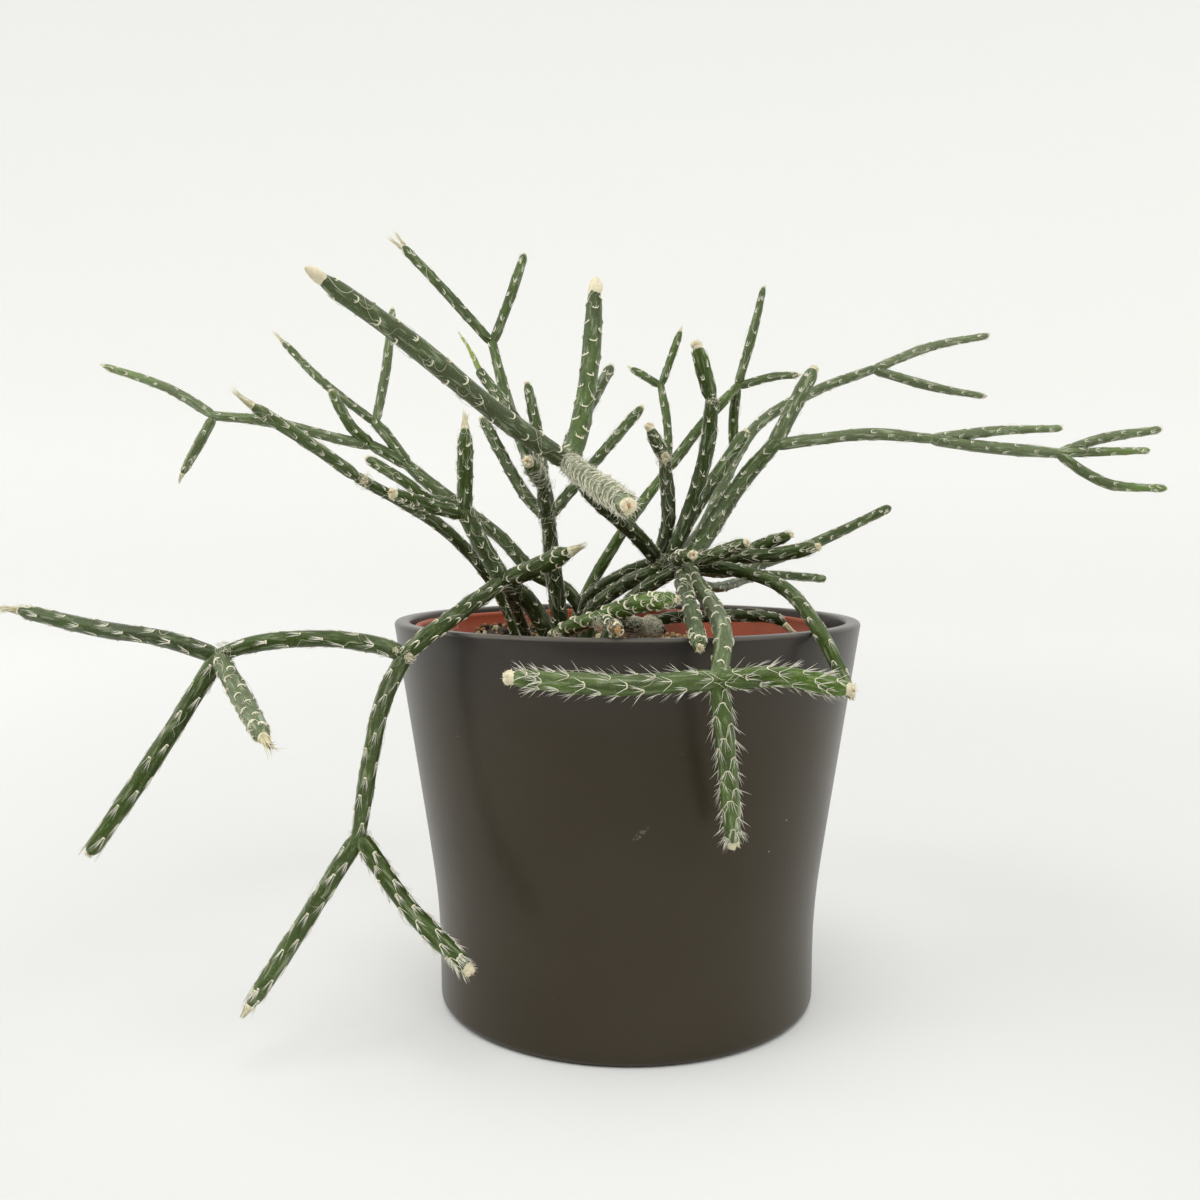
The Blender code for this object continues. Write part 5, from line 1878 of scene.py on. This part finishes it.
@dataclass
class Studio:
    """The pale bowl that is floor and backdrop in one, the soft lights and the camera."""

    floor_radius: float = 1.3
    bend: float = 0.8
    wall_turn: float = 60.0
    wall_length: float = 1.5
    wall_thickness: float = 0.02
    underside: float = -0.05
    floor_rings: int = 14
    bend_rings: int = 24
    segments: int = 96
    lens: float = 35.24
    sensor: float = 36.0
    camera_place: Point = (0.0, -0.3475, 0.1387)
    camera_pitch: float = -0.0625
    camera_yaw: float = 0.0226
    camera_roll: float = 0.0002
    sky: Colour = (1.0, 1.0, 0.975)
    sky_strength: float = 1.06
    lights: tuple[Softbox, ...] = (
        Softbox("left_softbox", (-1.3, -0.1, 0.8), (0.0, 0.0, 0.1), 1.0, 5.1),
        Softbox("right_softbox", (1.0, -0.8, 0.7), (0.0, 0.0, 0.05), 0.9, 5.0),
        Softbox("front_softbox", (0.0, -0.7, 1.6), (0.0, 0.0, 0.0), 0.8, 5.5),
        Softbox("key_softbox", (-0.9, -0.7, 1.1), (0.0, 0.0, 0.1), 0.5, 3.1),
    )

    def bowl(self) -> bpy.types.Object:
        """A flat floor that bends up into a leaning wall all round, turned from its profile.

        Returns:
            The bowl, in the scene.
        """
        steepest = self.wall_turn - 90.0
        bend = arc((self.floor_radius, self.bend), self.bend, -90.0, steepest, self.bend_rings)
        flat = np.linspace(0.0, self.floor_radius, self.floor_rings)
        turn = math.radians(self.wall_turn)
        edge = bend[-1] + self.wall_length * np.array([math.cos(turn), math.sin(turn)])
        outer = edge[0] + self.wall_thickness
        profile = np.concatenate([
            np.stack([flat, np.zeros(self.floor_rings)], axis=-1)[:-1],
            bend,
            [edge, [outer, edge[1]], [outer, self.underside], [0.0, self.underside]],
        ])
        return turned(profile, self.segments).piece("studio_bowl", PaperFinish().material())

    def light(self) -> None:
        """Adds the softboxes and an even pale sky."""
        for box in self.lights:
            box.light()
        world = bpy.data.worlds.new("pale sky")
        world.use_nodes = True
        sky = world.node_tree.nodes["Background"]
        sky.inputs["Color"].default_value = (*self.sky, 1.0)
        sky.inputs["Strength"].default_value = self.sky_strength
        bpy.context.scene.world = world

    def camera(self) -> None:
        """Adds the camera, turned by its yaw, then its pitch, then a slight roll."""
        data = bpy.data.cameras.new("camera")
        data.lens = self.lens
        data.sensor_width = self.sensor
        data.clip_start = 0.01
        made = bpy.data.objects.new("camera", data)
        turn = Euler((math.pi / 2 + self.camera_pitch, 0.0, self.camera_yaw)).to_matrix().to_4x4()
        roll = Matrix.Rotation(self.camera_roll, 4, "Z")
        made.matrix_world = Matrix.Translation(self.camera_place) @ turn @ roll
        bpy.context.scene.collection.objects.link(made)
        bpy.context.scene.camera = made

    def dress(self) -> None:
        """Sets up the whole studio."""
        self.bowl()
        self.light()
        self.camera()
        bpy.context.scene.view_settings.view_transform = "Standard"


def settle(piece: bpy.types.Object, slot: str, *nodes: str) -> None:
    """Makes a piece ride on the part, hides the CAD nodes that it stands for, and reports it.

    Args:
        piece: The piece.
        slot: Not used.
        nodes: CAD nodes that it stands for.
    """
    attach(piece, "root")
    if nodes:
        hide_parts(*nodes)
    triangles = len(piece.data.loops) - 2 * len(piece.data.polygons)
    LOG.info("%s: %d triangles", piece.name, triangles)


def stem_finishes() -> dict[str, bpy.types.Material]:
    """Builds the finishes of the stems.

    Returns:
        The material of each kind of piece.
    """
    finishes = {
        "skin": SkinFinish(),
        "felt": HairFinish("areole felt", (0.70, 0.65, 0.44), (0.88, 0.85, 0.66), 0.002),
        "bristles": HairFinish("bristles", (0.66, 0.61, 0.43), (0.90, 0.88, 0.75)),
        "hairs": HairFinish("fine hairs", (0.60, 0.58, 0.42), (0.76, 0.74, 0.58)),
        "wool": HairFinish("cream wool", (0.46, 0.36, 0.19), (0.80, 0.73, 0.52), 0.0009,
                           stain=(0.46, 0.22, 0.07)),
        "brushes": HairFinish("yellow bristles", (0.56, 0.47, 0.23), (0.77, 0.73, 0.52), 0.003),
    }
    return {kind: finish.material() for kind, finish in finishes.items()}


def main() -> None:
    """Builds the pots, the soil, the stems and the studio in order."""
    logging.basicConfig(level=logging.INFO, format="%(message)s")
    cover = CoverPot()
    cover.dress()
    nursery = NurseryPot(cover)
    nursery.dress()
    Soil(nursery).dress()
    finishes = stem_finishes()
    for seed, (node, branches) in enumerate(STEMS.items(), start=21):
        StemSystem(node, branches, TUFTS[node], seed).dress(finishes)
    Studio().dress()


if __name__ == "__main__":
    main()
